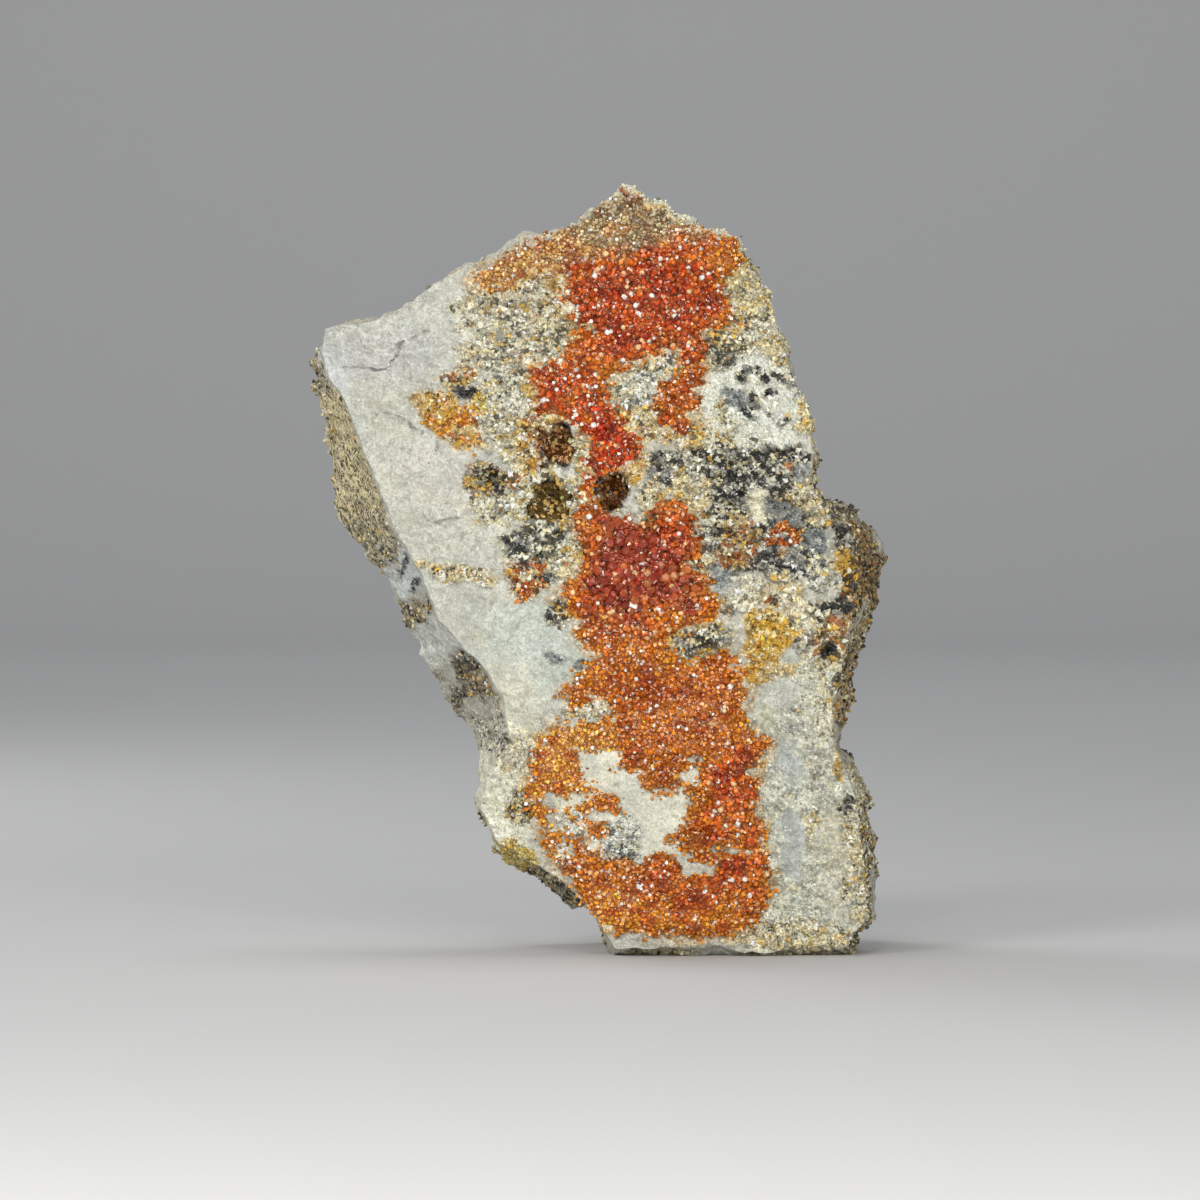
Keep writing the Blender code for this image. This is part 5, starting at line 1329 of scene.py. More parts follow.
# ------------------------------------------------------------------ crystals
class Habit(Enum):
    """Shapes of a single crystal, each a closed solid of a few faces round the Z axis."""

    PRISM = "six-sided prism with a flat end"
    BARREL = "six-sided prism whose end is bevelled"
    LUMP = "eight-sided lump"

    def solid(self) -> tuple[Array, list[Array]]:
        """Points of a crystal of radius 1 that stands from -1 to 1, and its faces."""
        if self is Habit.LUMP:
            points = np.array([(1, 0, 0), (0, 1, 0), (-1, 0, 0), (0, -1, 0), (0, 0, 1), (0, 0, -1)])
            top = [(k, (k + 1) % 4, 4) for k in range(4)]
            return points, [np.array(top + [((k + 1) % 4, k, 5) for k in range(4)])]
        levels = [(1.0, -1.0), (1.0, 1.0)]  # radius and height of each ring of six points
        if self is Habit.BARREL:
            levels = [(1.0, -1.0), (1.0, 0.62), (0.66, 1.0)]
        angles = np.arange(6) * math.pi / 3
        points = np.concatenate([np.stack([r * np.cos(angles), r * np.sin(angles), np.full(6, h)], axis=-1)
                                 for r, h in levels])
        rings = [np.arange(6) + 6 * level for level in range(len(levels))]
        sides = [np.stack([low, np.roll(low, -1), np.roll(high, -1), high], axis=-1)
                 for low, high in zip(rings, rings[1:])]
        return points, [*sides, np.array([rings[-1], rings[0][::-1]])]


@dataclass
class Cluster:
    """Many crystals or grains of one habit, with painted shade on their lower parts, where they stand in the
    crevices between them.
    """

    habit: Habit
    centres: Array
    axes: Array
    radii: Array
    heights: Array
    tints: Array
    rng: np.random.Generator
    outwards: Array | None = None
    painted_shade: float = 0.72

    def add_to(self, shape: Shape, uneven: float = 0.12) -> None:
        """Adds every crystal to a shape: the solid stretched, turned about Z and laid on its axis.

        Args:
            shape: where they go.
            uneven: how far each corner strays from the regular solid.
        """
        solid, faces = self.habit.solid()
        count, corners = len(self.centres), len(solid)
        along_x = np.abs(self.axes[:, :1]) > 0.8
        helper = np.where(along_x, np.array([[0.0, 0, 1]]), np.array([[1.0, 0, 0]]))
        first = unit(np.cross(self.axes, helper))
        second = np.cross(self.axes, first)
        spin = self.rng.uniform(0, 2 * math.pi, count)
        c, s = np.cos(spin)[:, None], np.sin(spin)[:, None]
        first, second = first * c + second * s, second * c - first * s
        local = solid[None] * (1 + uneven * self.rng.uniform(-1, 1, (count, corners, 3)))
        local = local * np.stack([self.radii, self.radii, self.heights], axis=-1)[:, None]
        points = (self.centres[:, None] + local[..., :1] * first[:, None]
                  + local[..., 1:2] * second[:, None] + local[..., 2:] * self.axes[:, None])
        starts = (np.arange(count) * corners)[:, None, None]
        # Painted shade: each corner is darkened the lower it lies along the axis, or along the outward
        # direction where one is given.
        ways = self.axes if self.outwards is None else self.outwards
        rise = ((points - self.centres[:, None]) * ways[:, None]).sum(axis=2)
        rise = rise / np.maximum(self.radii, self.heights)[:, None]
        tints = self.tints[:, None] * (1 - self.painted_shade * ease(0.55, -0.45, rise))[..., None]
        faces = [(group[None] + starts).reshape(-1, group.shape[1]) for group in faces]
        shape.add(points.reshape(-1, 3), faces, tint=np.clip(tints, 0, BRIGHTEST).reshape(-1, 3))


def leaning(axes: Array, degrees: float, rng: np.random.Generator) -> Array:
    """Directions that lean at random from the given ones, by about so many degrees."""
    return unit(axes + math.tan(math.radians(degrees)) * rng.normal(0, 0.8, axes.shape))


def scattered(low: Array, high: Array, spacing: float, rng: np.random.Generator) -> tuple[Array, Array]:
    """Points of a square lattice, each moved by up to half a spacing.

    Args:
        low: lower left corner of the area.
        high: upper right corner.
        spacing: distance between lattice points.
        rng: source of the moves.

    Returns:
        X and Z of the points.
    """
    x, z = np.meshgrid(np.arange(low[0], high[0], spacing), np.arange(low[1], high[1], spacing))
    x[1::2] += spacing / 2
    move = rng.uniform(-0.5, 0.5, (2, x.size)) * spacing
    return x.ravel() + move[0], z.ravel() + move[1]


@dataclass(frozen=True)
class Zone(Oval):
    """A part of the crust with crystals of one colour and size (radius in millimetres)."""

    tint: Colour
    size: float

    def share(self, x: Array, z: Array, wobble: Array) -> Array:
        """How much the zone counts at (x, z), fading out over its soft, uneven edge."""
        return ease(1.25, 0.7, self.around(x, z) + 0.3 * wobble)


CRUST_ZONES = (
    Zone(5.8, 85.0, 12.5, 8.4, (0.42, 0.045, 0.004), 0.38),
    Zone(17.0, 88.6, 2.8, 4.2, (0.66, 0.21, 0.02), 0.30),
    Zone(-13.0, 88.6, 4.6, 2.6, (0.64, 0.34, 0.10), 0.23, turn=35),
    Zone(-5.0, 91.2, 10.0, 2.4, (0.60, 0.36, 0.12), 0.21, turn=20),
    Zone(3.0, 96.6, 11.0, 5.2, (0.42, 0.36, 0.20), 0.20),
    Zone(5.6, 96.0, 5.8, 1.8, (0.34, 0.33, 0.20), 0.17),
    Zone(-5.2, 72.5, 4.5, 4.2, (0.48, 0.06, 0.004), 0.32),
    Zone(0.0, 66.7, 5.5, 6.2, (0.46, 0.03, 0.002), 0.33),
    Zone(5.6, 51.2, 8.0, 8.2, (0.32, 0.04, 0.02), 0.54),
    Zone(9.7, 55.7, 3.2, 2.8, (0.46, 0.06, 0.008), 0.35),
    Zone(5.2, 37.0, 7.9, 4.7, (0.64, 0.18, 0.01), 0.25),
    # Painted shade: the crystals in the shaded dip below the grey lump are given a darker red.
    Zone(5.2, 33.8, 3.4, 2.7, (0.48, 0.10, 0.005), 0.30),
    Zone(11.6, 30.6, 6.9, 5.4, (0.66, 0.19, 0.015), 0.23),
    Zone(-3.9, 26.7, 5.4, 4.2, (0.78, 0.38, 0.07), 0.20),
    Zone(17.4, 16.4, 4.6, 9.2, (0.54, 0.085, 0.006), 0.33),
    Zone(-5.2, 20.3, 3.9, 5.4, (0.80, 0.34, 0.05), 0.24),
    Zone(6.5, 5.0, 12.0, 3.6, (0.84, 0.31, 0.025), 0.23),
    Zone(11.0, 9.6, 6.7, 3.6, (0.54, 0.10, 0.008), 0.30),
)
LEFT_ZONES = (
    Zone(-17.0, 68.2, 2.6, 1.8, (0.54, 0.14, 0.01), 0.26),
    Zone(-19.5, 71.0, 3.0, 2.0, (0.60, 0.34, 0.05), 0.22),
)
CENTRE_ZONES = (Zone(-9.0, 47.8, 1.5, 1.6, (0.34, 0.04, 0.01), 0.29),)


@dataclass(frozen=True)
class Grade:
    """One size of crystal: its habit, radii, spacing, and the usual sizes at which it is wanted."""

    habit: Habit
    radii: tuple[float, float]
    spacing: float
    wanted: tuple[float, float, float, float]
    lift: tuple[float, float] = (-0.6, 0.45)
    lean: float = 34.0

    def share(self, size: Array) -> Array:
        """How much the grade counts where crystals are usually of that size."""
        start, full, still, end = self.wanted
        return ease(start, full, size) * ease(end, still, size)


# Each row of grades makes one piece.
GRADES = ((
    Grade(Habit.BARREL, (0.46, 0.78), 1.0, (0.40, 0.56, 9.0, 9.1), (-0.5, 0.5), 28.0),
    Grade(Habit.BARREL, (0.26, 0.42), 0.60, (0.25, 0.36, 9.0, 9.1)),
), (
    Grade(Habit.PRISM, (0.16, 0.27), 0.47, (0.10, 0.20, 0.45, 0.70)),
), (
    Grade(Habit.LUMP, (0.12, 0.20), 0.38, (0.00, 0.10, 0.50, 0.80), (-0.4, 0.9)),
))


@dataclass
class CrystalCrust:
    """A crust of small vanadinite crystals over part of the crystal face."""

    name: str
    node: str
    face: CrystalFace
    outline: Outline
    zones: tuple[Zone, ...] = ()
    windows: tuple[Outline, ...] = ()
    edge: Outline | None = None
    islands: Swell = Swell(2.0, 18.5, 13.5, 9.5, 1.1)
    base_tint: Colour = (0.58, 0.15, 0.01)
    rim_tint: Colour = (0.68, 0.26, 0.02)
    base_size: float = 0.30
    thickness: float = 0.55
    hills: tuple[Swell, ...] = (
        Swell(7.0, 84.0, 10.0, 7.0, 0.7), Swell(6.0, 50.0, 9.0, 9.0, 1.0),
        Swell(12.0, 18.0, 11.0, 17.0, 0.6),
    )
    ragged: float = 0.95
    stray: float = 0.9
    seed: int = 1

    def depth(self, x: Array, z: Array) -> Array:
        """How far (x, z) lies inside the crust's ragged edge; below 0 on bare rock."""
        inside = self.outline.depth(x, z)
        for window in self.windows:
            inside = np.minimum(inside, -window.depth(x, z))
        place = on_plane(x, z)
        edge = self.ragged * Noise(2.4, 401, 5).at(place) + 0.45 * Noise(0.9, 403).at(place)
        stretched = place * np.array([0.75, 1.0, 1.25])
        cover = 1.25 - self.islands.at(x, z) + 1.1 * Noise(3.2, 405, 5).at(stretched)
        inside = np.minimum(inside + edge, 2.2 * cover)
        return inside if self.edge is None else np.minimum(inside, self.edge.depth(x, z) - 0.05)

    def lookup(self, x: Array, z: Array, depth: Array) -> tuple[Array, Array]:
        """Colour and usual crystal radius at (x, z), more orange and finer near the edge."""
        wobble = Noise(3.0, 407, 3).over(x, z)
        tint = np.tile(np.array(self.base_tint), (len(x), 1))
        size = np.full(len(x), self.base_size)
        for zone in self.zones:
            share = zone.share(x, z, wobble)
            tint = blend(tint, zone.tint, share)
            size = size + (zone.size - size) * share
        mottle = Noise(2.0, 409, 3).over(x, z)
        tint = blend(tint, tint * np.array([0.62, 0.3, 0.3]), 0.9 * ease(0.1, 0.55, mottle))
        tint = blend(tint, self.rim_tint, 0.45 * ease(-0.1, -0.6, mottle) * ease(0.5, 0.3, size))
        rim = ease(1.6, 0.0, depth) * ease(0.15, 0.3, size)
        tint = blend(tint, self.rim_tint, 0.6 * rim * (0.35 + 0.65 * ease(58.0, 44.0, z)))
        return tint, size * (1 - 0.25 * rim)

    def top_y(self, x: Array, z: Array, depth: Array) -> Array:
        """Depth of the crust's own surface between its crystals."""
        lumps = 0.5 * Noise(3.0, 9, 4).over(x, z)
        thick = (self.thickness + swell_sum(x, z, self.hills) + lumps) * ease(-0.4, 2.2, depth)
        return self.face.plain_y(x, z) - 0.12 - thick

    def sheet(self, shape: Shape, step: float = 0.34) -> None:
        """Adds the crust under the crystals: the cells of a lattice whose corners lie inside.

        Args:
            shape: where it goes.
            step: size of the lattice's cells.
        """
        low, high = self.outline.box(2)
        x, z = np.meshgrid(np.arange(low[0], high[0], step), np.arange(high[1], low[1], -step))
        rows, columns = x.shape
        x, z = x.ravel(), z.ravel()
        depth = self.depth(x, z)
        cells = grid_quads(rows, columns)
        cells = cells[(depth[cells] > 0).all(axis=1)]
        edges = np.stack([cells, np.roll(cells, -1, axis=1)], axis=-1).reshape(-1, 2)
        size = len(x)
        paired = np.isin(edges[:, 0] * size + edges[:, 1], edges[:, 1] * size + edges[:, 0])
        rim = edges[~paired]
        top = np.stack([x, self.top_y(x, z, depth), z], axis=-1)
        below = np.stack([x, self.face.plain_y(x, z) + 0.5, z], axis=-1)
        edge = np.stack([rim[:, 0], rim[:, 0] + size, rim[:, 1] + size, rim[:, 1]], axis=-1)
        quads = np.concatenate([cells, cells[:, ::-1] + size, edge])
        used, numbers = np.unique(quads, return_inverse=True)
        # Painted shade: the crust between the crystals is painted far darker than they are, in the gaps
        # between them.
        tint = np.tile(self.lookup(x, z, depth)[0] * np.array([0.50, 0.30, 0.24]), (2, 1))
        shape.add(np.concatenate([top, below])[used], [numbers.reshape(quads.shape)], tint=tint[used])

    def crystals(self, grade: Grade, rng: np.random.Generator) -> Cluster:
        """One size of crystal, scattered where the crust's crystals are about that size.

        Args:
            grade: the size and shape.
            rng: source of the random values.

        Returns:
            The crystals.
        """
        x, z = scattered(*self.outline.box(1.5), grade.spacing, rng)
        depth = self.depth(x, z)
        tint, size = self.lookup(x, z, depth)
        strays = 0.28 * ease(-self.stray, -0.1, depth)
        chance = grade.share(size) * np.where(depth > -0.05, 1.0, strays)
        kept = rng.random(len(x)) < chance
        x, z, depth, tint = x[kept], z[kept], depth[kept], tint[kept]
        count = len(x)
        radius = rng.uniform(*grade.radii, count)
        axes = leaning(self.face.normals(x, z), grade.lean, rng)
        y = self.top_y(x, z, depth) - rng.uniform(*grade.lift, count) * radius
        height = radius * rng.uniform(0.7, 1.15, count)
        return Cluster(grade.habit, np.stack([x, y, z], axis=-1), axes, radius, height,
                       self.shades(tint, radius, rng), rng)

    @staticmethod
    def shades(tint: Array, radius: Array, rng: np.random.Generator) -> Array:
        """Colours round the given ones: more orange or deeper red, and a few pale or white ones, which are
        partly pale specks of the crust and partly painted glints.
        """
        count = len(tint)
        tint = blend(tint, (0.80, 0.32, 0.03), np.clip(rng.normal(0.0, 0.13, count), 0, 0.7))
        tint = blend(tint, (0.14, 0.010, 0.003), np.clip(rng.normal(0.0, 0.26, count), 0, 0.85))
        tint = tint * np.exp(rng.normal(0.16, 0.3, count) * (0.3 + 0.7 * ease(0.8, 0.35, radius)))[:, None]
        # Painted glints, partly pale specks: a few small crystals are painted pale orange-cream, and fewer of
        # them white.
        luck = rng.random(count) / np.maximum(0.1, ease(0.62, 0.3, radius))
        tint = np.where((luck < 0.095)[:, None], np.array([0.95, 0.62, 0.30]), tint)
        return np.where((luck < 0.045)[:, None], np.array([0.95, 0.93, 0.86]), tint)

    def build(self, material: bpy.types.Material) -> list[bpy.types.Object]:
        """Makes the crust and its crystals.

        Args:
            material: the vanadinite finish.

        Returns:
            The pieces, coarse crystals first.
        """
        rng = np.random.default_rng(self.seed)
        made = []
        for part, grades in zip(("crystals", "small_crystals", "finest_crystals"), GRADES):
            shape = Shape()
            if not made:
                self.sheet(shape)
            for grade in grades:
                self.crystals(grade, rng).add_to(shape)
            LOG.info("%s %s: %d triangles", self.name, part, shape.triangles())
            made.append(shape.as_object(f"{self.name}_{part}", material))
        return made


CRUST_OUTLINE = Outline((
    (-16.5, 86.5), (-15.5, 88.5), (-10.0, 92.2), (-6.5, 92.8), (-2.5, 94.4), (1.0, 97.2),
    (3.0, 99.3), (6.8, 97.0), (9.4, 95.4), (15.4, 93.2), (18.0, 92.6), (18.4, 89.8),
    (15.5, 87.5), (17.4, 82.0), (12.8, 80.5), (14.0, 79.5), (13.8, 76.0), (12.9, 72.5),
    (12.0, 66.6), (7.0, 67.6), (8.0, 74.0), (11.0, 76.0), (9.5, 78.0), (5.5, 77.0),
    (1.2, 73.8), (1.2, 71.0), (3.8, 69.8), (5.4, 67.2), (5.0, 63.6), (1.5, 63.0), (-0.8, 61.5),
    (-1.0, 59.0), (1.5, 57.0), (5.5, 55.5), (8.0, 58.5), (10.5, 59.0), (12.0, 57.0),
    (13.0, 52.5), (11.5, 50.5), (13.5, 49.5), (15.5, 45.5), (14.5, 43.0), (11.0, 42.5),
    (9.0, 41.0), (9.0, 39.0), (12.5, 38.5), (16.0, 40.0), (17.5, 38.0), (20.0, 36.5),
    (18.8, 35.0), (19.2, 30.5), (19.6, 28.6), (21.5, 27.4), (20.0, 24.5), (20.5, 18.0),
    (21.6, 13.5), (22.0, 9.0), (20.6, 5.0), (17.5, 2.4), (12.5, 2.0), (5.5, 2.8), (1.0, 3.2),
    (-0.6, 6.0), (-3.6, 9.5), (-6.0, 13.0), (-8.0, 16.5), (-9.2, 21.0), (-9.0, 26.0),
    (-6.5, 29.5), (2.0, 31.0), (1.0, 33.0), (-3.5, 32.5), (-5.5, 34.5), (-1.0, 38.5),
    (-3.5, 41.5), (-2.5, 43.5), (-6.0, 46.5), (-2.0, 51.0), (-2.5, 54.5), (-4.0, 57.0),
    (-2.2, 59.0), (-2.5, 63.0), (-1.5, 65.0), (-3.5, 69.0), (-8.0, 70.0), (-9.5, 77.0),
    (-5.0, 76.0), (-4.0, 79.5), (-1.4, 81.2), (-5.6, 84.4), (-4.6, 87.4), (-7.0, 88.5),
    (-15.0, 85.5),
))
CRUST_WINDOWS = (
    Outline((
        (-1.9, 26.4), (1.9, 26.7), (2.4, 24.1), (5.2, 23.7), (5.8, 21.8), (8.4, 20.9), (10.3, 22.2),
        (11.9, 20.3), (11.6, 18.3), (10.3, 16.4), (8.0, 14.1), (5.2, 12.8), (1.3, 12.3), (0.0, 14.4),
        (1.0, 16.4), (0.0, 17.4), (3.2, 18.3), (2.8, 20.3), (2.3, 21.5), (0.0, 21.5), (-1.9, 22.2),
        (-2.4, 24.8),
    )),
    Outline((
        (-7.1, 18.4), (-4.6, 18.0), (-2.4, 17.4), (0.0, 14.6), (-0.6, 13.6), (-3.0, 15.8), (-6.0, 16.8),
    )),
    Outline(((-5.9, 13.8), (-4.6, 14.6), (-3.6, 13.4), (-4.9, 12.2))),
    Outline(((14.6, 13.6), (16.8, 15.0), (18.8, 14.2), (19.5, 13.5), (17.0, 13.4), (15.4, 12.9))),
    Outline(((8.6, 13.9), (10.3, 14.6), (12.0, 12.6), (14.9, 11.8), (14.4, 10.7), (11.2, 10.8), (9.0, 12.6))),
    Outline(((10.6, 23.2), (12.4, 23.9), (12.2, 22.9))),
)
LEFT_PATCH = Outline((
    (-22.8, 71.6), (-20.0, 72.3), (-18.2, 71.0), (-15.4, 70.8), (-15.4, 69.4), (-16.8, 68.6),
    (-16.6, 67.2), (-15.4, 65.8), (-16.8, 65.4), (-18.6, 66.8), (-20.8, 67.6), (-22.4, 68.8),
))
RIGHT_PATCH = Outline(((21.5, 54.0), (23.0, 56.0), (26.0, 55.0), (25.5, 52.5), (23.0, 52.0)))
CENTRE_PATCH = Outline(((-11.0, 49.0), (-9.5, 51.0), (-8.0, 50.0), (-8.5, 47.0), (-10.5, 46.5)))


def crusts(face: CrystalFace, edge: Outline) -> list[CrystalCrust]:
    """The main crust and the three small patches beside it."""
    bare = Swell(0.0, 0.0, 1.0, 1.0, 0.0)
    return [
        CrystalCrust("vanadinite_crust", "vanadinite_crust", face, CRUST_OUTLINE, CRUST_ZONES,
                     windows=CRUST_WINDOWS, edge=edge, seed=11),
        CrystalCrust("left_patch", "vanadinite_patch_left", face, LEFT_PATCH, LEFT_ZONES,
                     islands=Swell(-18.5, 69.5, 6.0, 6.0, 0.8), base_tint=(0.60, 0.28, 0.03),
                     base_size=0.25, thickness=0.3, seed=12),
        CrystalCrust("right_patch", "vanadinite_patch_right", face, RIGHT_PATCH,
                     islands=bare, base_tint=(0.44, 0.09, 0.015), base_size=0.28, thickness=0.3,
                     ragged=1.1, seed=13),
        CrystalCrust("centre_patch", "vanadinite_patch_centre", face, CENTRE_PATCH, CENTRE_ZONES,
                     islands=bare, base_tint=(0.48, 0.10, 0.015), base_size=0.28, thickness=0.3,
                     ragged=1.3, seed=14),
    ]


# ------------------------------------------------------------------ loose grains and hollows
@dataclass
class LooseGrains:
    """Grains of quartz and ore that stand out of the granular parts of the rock."""

    face: CrystalFace
    main_crust: CrystalCrust
    most: int = 24000
    spacing: float = 0.33
    radii: tuple[float, float] = (0.13, 0.5)
    lumpy: tuple[Swell, ...] = (
        Swell(22.5, 45.5, 8.0, 5.0, 0.5),
        Swell(33.0, 50.0, 6.0, 10.0, 0.4),
        Swell(19.6, 70.6, 9.0, 7.0, 0.3),
        Swell(-8.0, 58.0, 9.0, 9.0, 0.3),
    )
    seed: int = 21

    def build_front(self, edge: Outline, material: bpy.types.Material) -> bpy.types.Object:
        """Grains over the crystal face, thickest where it is coarse and none under the crust.

        Args:
            edge: outline of the face, inside which they stay.
            material: their finish.

        Returns:
            The piece.
        """
        rng = np.random.default_rng(self.seed)
        x, z = scattered(*edge.box(0), self.spacing, rng)
        kept = (edge.depth(x, z) > 0.25) & (self.main_crust.depth(x, z) < 0.0)
        kept &= np.all([pit.reach(x, z) > 1.0 for pit in PITS], axis=0)
        x, z = x[kept], z[kept]
        paint = self.face.paint(x, z)
        kept = rng.random(len(x)) < 0.04 + 0.96 * ease(0.12, 0.85, paint.coarse)
        kept &= np.cumsum(kept) < self.most
        x, z = x[kept], z[kept]
        paint = Paint(paint.tint[kept], paint.shares[kept], paint.coarse[kept])
        radius = self.sizes(len(x), rng) * (0.45 + 0.55 * paint.coarse) * (1 + swell_sum(x, z, self.lumpy))
        y = self.face.y(x, z, paint.coarse) + 0.1 * radius
        places = np.stack([x, y, z], axis=-1)
        tints = paint.grain_colours(on_plane(x, z), rng, 0.85)
        return self.grains(places, self.face.normals(x, z), radius, tints, rng,
                           "grains_of_the_face", material)

    def sizes(self, count: int, rng: np.random.Generator) -> Array:
        """Radii of grains: many small ones and few large, low + (high - low) * u^2.2."""
        return self.radii[0] + (self.radii[1] - self.radii[0]) * rng.random(count) ** 2.2

    def build_sides(self, ground: Ground, material: bpy.types.Material) -> bpy.types.Object:
        """Grains over the sides and back, on points of the rock's own surface.

        Args:
            ground: those points, with their coarseness, streaks and colours.
            material: their finish.

        Returns:
            The piece.
        """
        rng = np.random.default_rng(self.seed + 1)
        points = ground.points
        chance = ease(0.5, 1.0, ground.coarse) * 0.62 * (points[:, 2] > 1.2)
        chosen = np.flatnonzero(rng.random(len(points)) < chance)
        if len(chosen) > self.most:
            chosen = np.sort(rng.choice(chosen, self.most, replace=False))
        places = points[chosen]
        radius = self.sizes(len(places), rng) * (0.85 - 0.35 * ground.streak[chosen])
        middle = np.array([2.0, 8.0, places[:, 2].mean()])
        outwards = unit((places - middle) * np.array([1.0, 1.0, 0.35]))
        return self.grains(places, outwards, radius, ground.tints[chosen], rng,
                           "grains_of_the_sides", material)

    @staticmethod
    def grains(places: Array, outwards: Array, radius: Array, tints: Array, rng: np.random.Generator,
               name: str, material: bpy.types.Material) -> bpy.types.Object:
        """Makes the lumps as one piece."""
        axes = unit(rng.normal(size=places.shape))
        shape = Shape()
        heights = radius * rng.uniform(0.6, 1.1, len(places))
        # Painted shade on the lower sides of the grains, deeper than on the crystals.
        cluster = Cluster(Habit.LUMP, places, axes, radius, heights, tints, rng, outwards, painted_shade=0.85)
        cluster.add_to(shape, uneven=0.35)
        LOG.info("%s: %d triangles", name, shape.triangles())
        return shape.as_object(name, material)


@dataclass
class HollowLining:
    """The brown crystals that line a hollow: a bowl, and small crystals that point inwards."""

    pit: Pit
    face: CrystalFace
    tint: Colour
    gleam: Colour
    gleam_share: float
    count: int
    seed: int
    inset: float = 0.25
    wall: float = 0.6

    def bowl(self, shape: Shape, rings: int = 16, around: int = 60) -> None:
        """Adds the bowl: y = face + depth * sqrt(1 - r^2) - inset over rings of radius r."""
        r = np.sin(np.linspace(0.02, 1.0, rings) * math.pi / 2) * 0.97
        angle = np.arange(around) * 2 * math.pi / around
        across, along = (r[:, None] * np.cos(angle)).ravel(), (r[:, None] * np.sin(angle)).ravel()
        x, z = self.spot(across, along)
        fall = self.pit.depth * np.sqrt(1 - np.repeat(r, around) ** 2)
        lumps = 0.28 * Noise(1.1, self.seed, 3).over(x, z)
        inner = np.stack([x, self.face.plain_y(x, z) + fall - self.inset + lumps, z], axis=-1)
        outer = inner + np.array([0.0, self.wall, 0.0])
        index = np.arange(rings * around).reshape(rings, around)
        inner_bands = np.concatenate([band_quads(index[k], index[k + 1]) for k in range(rings - 1)])
        size = rings * around
        middle = np.array([self.pit.x, inner[:around, 1].mean(), self.pit.z])
        points = np.concatenate([inner, outer, [middle, middle + np.array([0.0, self.wall, 0.0])]])
        fan = np.stack([index[0], np.roll(index[0], -1), np.full(around, 2 * size)], axis=-1)
        lip = band_quads(index[-1], index[-1] + size)
        faces = [inner_bands[:, ::-1], inner_bands + size, lip[:, ::-1],
                 fan, fan[:, ::-1] + np.array([size, size, 1])]
        # Painted shade: the bowl is painted at half the crystals' colour, deep in the hollow behind them.
        shape.add(points, faces, tint=np.tile(np.array(self.tint) * 0.5, (len(points), 1)))

    def spot(self, across: Array, along: Array) -> tuple[Array, Array]:
        """(x, z) of places given as shares of the hollow's half width and half height."""
        x, z = turned(self.pit.half_x * across, self.pit.half_z * along, -self.pit.turn)
        return self.pit.x + x, self.pit.z + z

    def build(self, material: bpy.types.Material) -> bpy.types.Object:
        """Makes the lining."""
        rng = np.random.default_rng(self.seed)
        shape = Shape()
        self.bowl(shape)
        r, angle = 0.99 * np.sqrt(rng.random(self.count)), rng.uniform(0, 2 * math.pi, self.count)
        across, along = r * np.cos(angle), r * np.sin(angle)
        x, z = self.spot(across, along)
        fall = self.pit.depth * np.sqrt(1 - r ** 2)
        y = self.face.plain_y(x, z) + fall - self.inset - 0.12
        inwards = unit(np.stack([-across, np.full(self.count, -0.5), -along], axis=-1))
        radius = rng.uniform(0.16, 0.36, self.count)
        gleams = (rng.random(self.count) < self.gleam_share)[:, None]
        tints = np.where(gleams, np.array(self.gleam), np.array(self.tint))
        tints = tints * np.exp(rng.normal(0, 0.35, self.count))[:, None]
        Cluster(Habit.PRISM, np.stack([x, y, z], axis=-1), leaning(inwards, 30, rng), radius,
                radius * rng.uniform(0.8, 1.5, self.count), tints, rng).add_to(shape)
        return shape.as_object(self.pit.node + "_crystals", material)


def linings(face: CrystalFace) -> list[HollowLining]:
    """The linings of the three hollows, each of its own brown."""
    upper, middle, right = PITS
    return [
        HollowLining(upper, face, tint=(0.13, 0.045, 0.015), gleam=(1.0, 0.50, 0.20),
                     gleam_share=0.38, count=340, seed=61),
        HollowLining(middle, face, tint=(0.15, 0.095, 0.03), gleam=(0.80, 0.52, 0.16),
                     gleam_share=0.26, count=400, seed=62),
        HollowLining(right, face, tint=(0.10, 0.035, 0.01), gleam=(0.44, 0.18, 0.04),
                     gleam_share=0.12, count=240, seed=63),
    ]


# ------------------------------------------------------------------ studio
SUBJECT: Point3 = (0.0, -17.0, 46.05)  # the middle of the view


@dataclass(frozen=True)
class Lamp:
    """A square soft light: its place, length of side, power, aim and colour."""

    name: str
    place: Point3
    size: float
    watts: float
    aim: Point3 = SUBJECT
    colour: Colour = (1.0, 1.0, 1.0)

    def hang(self) -> None:
        """Adds the light to the scene."""
        light = bpy.data.lights.new(self.name, "AREA")
        light.shape, light.size, light.energy, light.color = "SQUARE", self.size * MM, self.watts, self.colour
        made = bpy.data.objects.new(self.name, light)
        bpy.context.scene.collection.objects.link(made)
        point(made, self.place, self.aim)


def point(made: bpy.types.Object, place: Array | Point3, aim: Array | Point3) -> None:
    """Puts a light or camera at a place and points it at another."""
    made.location = Vector(place) * MM
    made.rotation_euler = (Vector(aim) - Vector(place)).to_track_quat("-Z", "Y").to_euler()


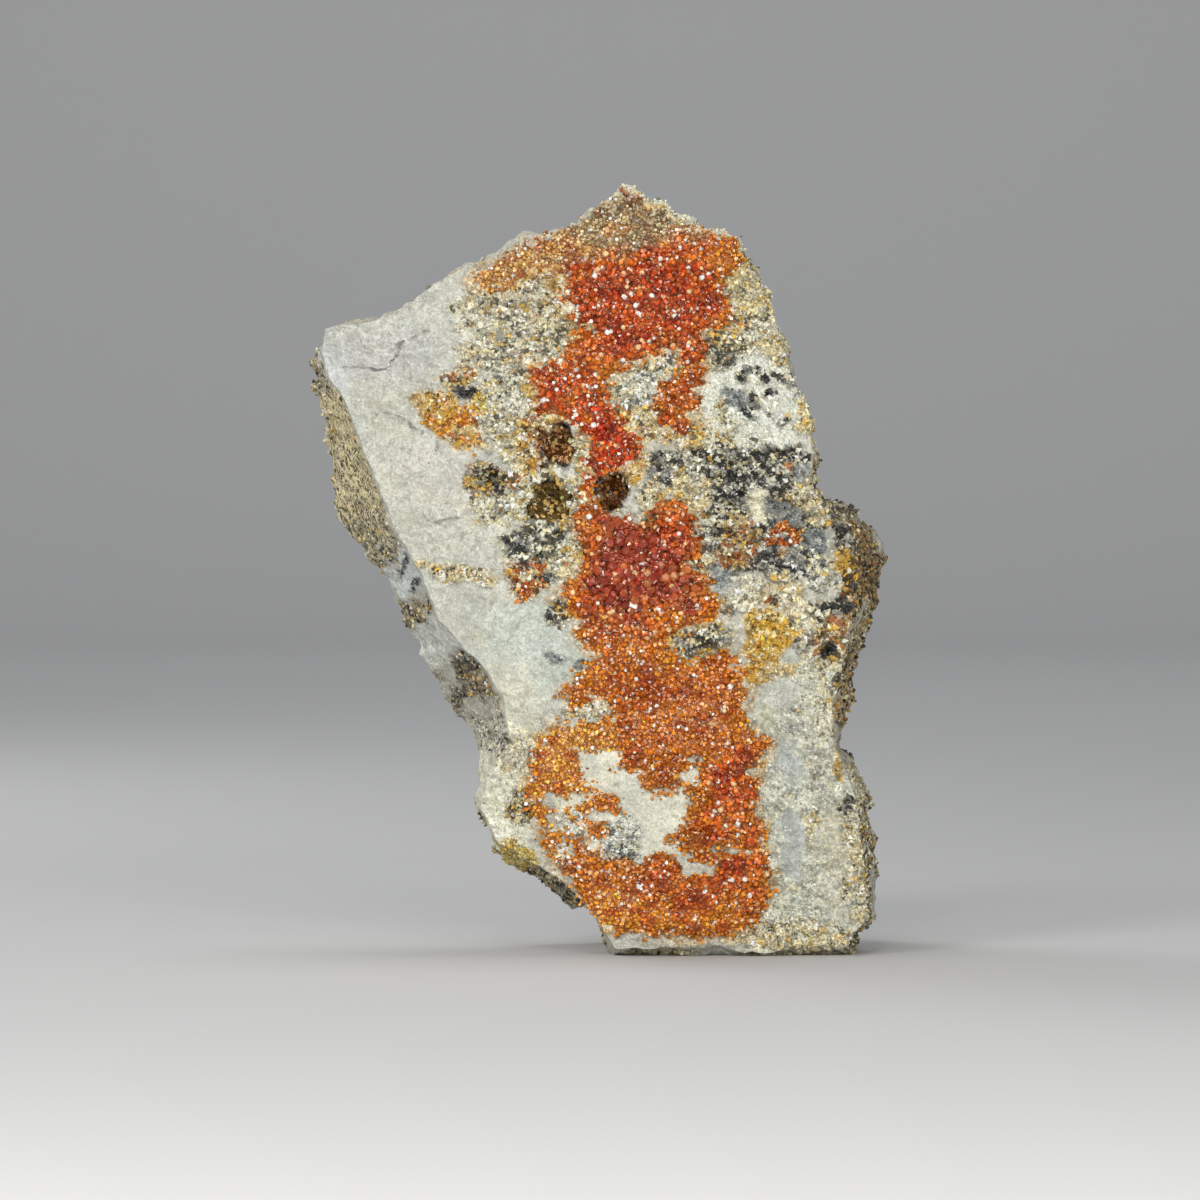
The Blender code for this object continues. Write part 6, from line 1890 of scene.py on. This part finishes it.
WARM_WHITE: Colour = (1.0, 0.97, 0.92)
LAMPS = (
    Lamp("key", (-330.0, -560.0, 420.0), 220, 1.5),
    Lamp("fill", (420.0, -560.0, 120.0), 380, 0.9),
    Lamp("top", (0.0, 60.0, 620.0), 300, 0.9),
    Lamp("back_left", (-420.0, 430.0, 340.0), 320, 1.3),
    Lamp("wall", (0.0, 800.0, 900.0), 700, 3.0, aim=(0.0, 1680.0, 330.0)),
    # small lamps that glint on the crystals
    Lamp("glint_0", (150.0, -620.0, 330.0), 90, 0.5, colour=WARM_WHITE),
    Lamp("glint_1", (-120.0, -640.0, 210.0), 90, 0.5, colour=WARM_WHITE),
    Lamp("glint_2", (-40.0, -600.0, 420.0), 90, 0.5, colour=WARM_WHITE),
    Lamp("glint_3", (260.0, -600.0, 60.0), 90, 0.35, colour=WARM_WHITE),
    Lamp("glint_4", (-300.0, -600.0, 90.0), 90, 0.4, colour=WARM_WHITE),
)


@dataclass
class Studio:
    """Pale floor with a curved backdrop, soft lights and the camera."""

    view_width: float = 154.8
    distance: float = 1200.0
    elevation: float = 1.5
    floor_half: float = 900.0
    bend_start: float = 1300.0
    bend: float = 380.0
    wall_top: float = 1500.0

    def floor(self) -> bpy.types.Object:
        """The floor and backdrop: a flat run, a quarter turn of radius bend, and a wall."""
        turn = np.linspace(0, math.pi / 2, 24)
        y = np.concatenate([[-2600.0], self.bend_start + self.bend * np.sin(turn)])
        z = np.concatenate([[0.0], self.bend - self.bend * np.cos(turn)])
        y, z = np.append(y, self.bend_start + self.bend), np.append(z, self.wall_top)
        x = np.array([-2.2, 2.2]) * self.floor_half
        points = np.stack([np.tile(x, len(y)), np.repeat(y, 2), np.repeat(z, 2)], axis=-1) - CENTRING
        shape = Shape()
        shape.add(points, [grid_quads(len(y), 2, over=True)])
        bench = Bench("studio_paper")
        material = bench.finish({"Roughness": 0.85, "Base Color": (0.60, 0.60, 0.60)}, {})
        return shape.as_object("studio_floor", material, sharp_degrees=180)

    def build(self) -> None:
        """Makes the floor, lights, surroundings and camera."""
        self.floor()
        for lamp in LAMPS:
            lamp.hang()
        world = bpy.data.worlds.new("studio_air")
        world.use_nodes = True
        world.node_tree.nodes["Background"].inputs["Color"].default_value = (0.93, 0.96, 1.0, 1.0)
        world.node_tree.nodes["Background"].inputs["Strength"].default_value = 0.22
        bpy.context.scene.world = world
        bpy.context.scene.view_settings.view_transform = "Standard"
        lens = bpy.data.cameras.new("camera")
        lens.sensor_width = 36.0
        lens.lens = lens.sensor_width * self.distance / self.view_width
        lens.clip_start, lens.clip_end = 0.05, 20.0
        camera = bpy.data.objects.new("camera", lens)
        bpy.context.scene.collection.objects.link(camera)
        rise = math.radians(self.elevation)
        back = np.array([0.0, -math.cos(rise), math.sin(rise)]) * self.distance
        point(camera, np.array(SUBJECT) + back, SUBJECT)
        bpy.context.scene.camera = camera


def settle(piece: bpy.types.Object, nodes: tuple[str, ...] = ()) -> None:
    """Makes a piece ride on the rock's body and hides what it stands for."""
    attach(piece, BODY)
    if nodes:
        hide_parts(*nodes)
    LOG.info("piece %s", piece.name)


def main() -> None:
    """Builds the specimen and its studio."""
    logging.basicConfig(level=logging.INFO, format="%(name)s: %(message)s")
    Studio().build()
    face = CrystalFace()
    rock_material = RockFinish().material()
    grain_material = GrainFinish().material()
    crystal_material = CrystalFinish("vanadinite_finish", 1.75, (0.1, 0.24)).material()
    lining_material = CrystalFinish("brown_crystal_finish", 1.8, (0.12, 0.3)).material()

    matrix = QuartzMatrix(face)
    settle(matrix.build(rock_material), ("quartz_matrix",))
    edge = matrix.outline()
    made_crusts = crusts(face, edge)
    for crust in made_crusts:
        first, *others = crust.build(crystal_material)
        settle(first, (crust.node,))
        for piece in others:
            settle(piece)
    grains = LooseGrains(face, made_crusts[0])
    settle(grains.build_front(edge, grain_material))
    settle(grains.build_sides(matrix.ground, grain_material))
    for lining in linings(face):
        settle(lining.build(lining_material), (lining.pit.node,))


if __name__ == "__main__":
    main()
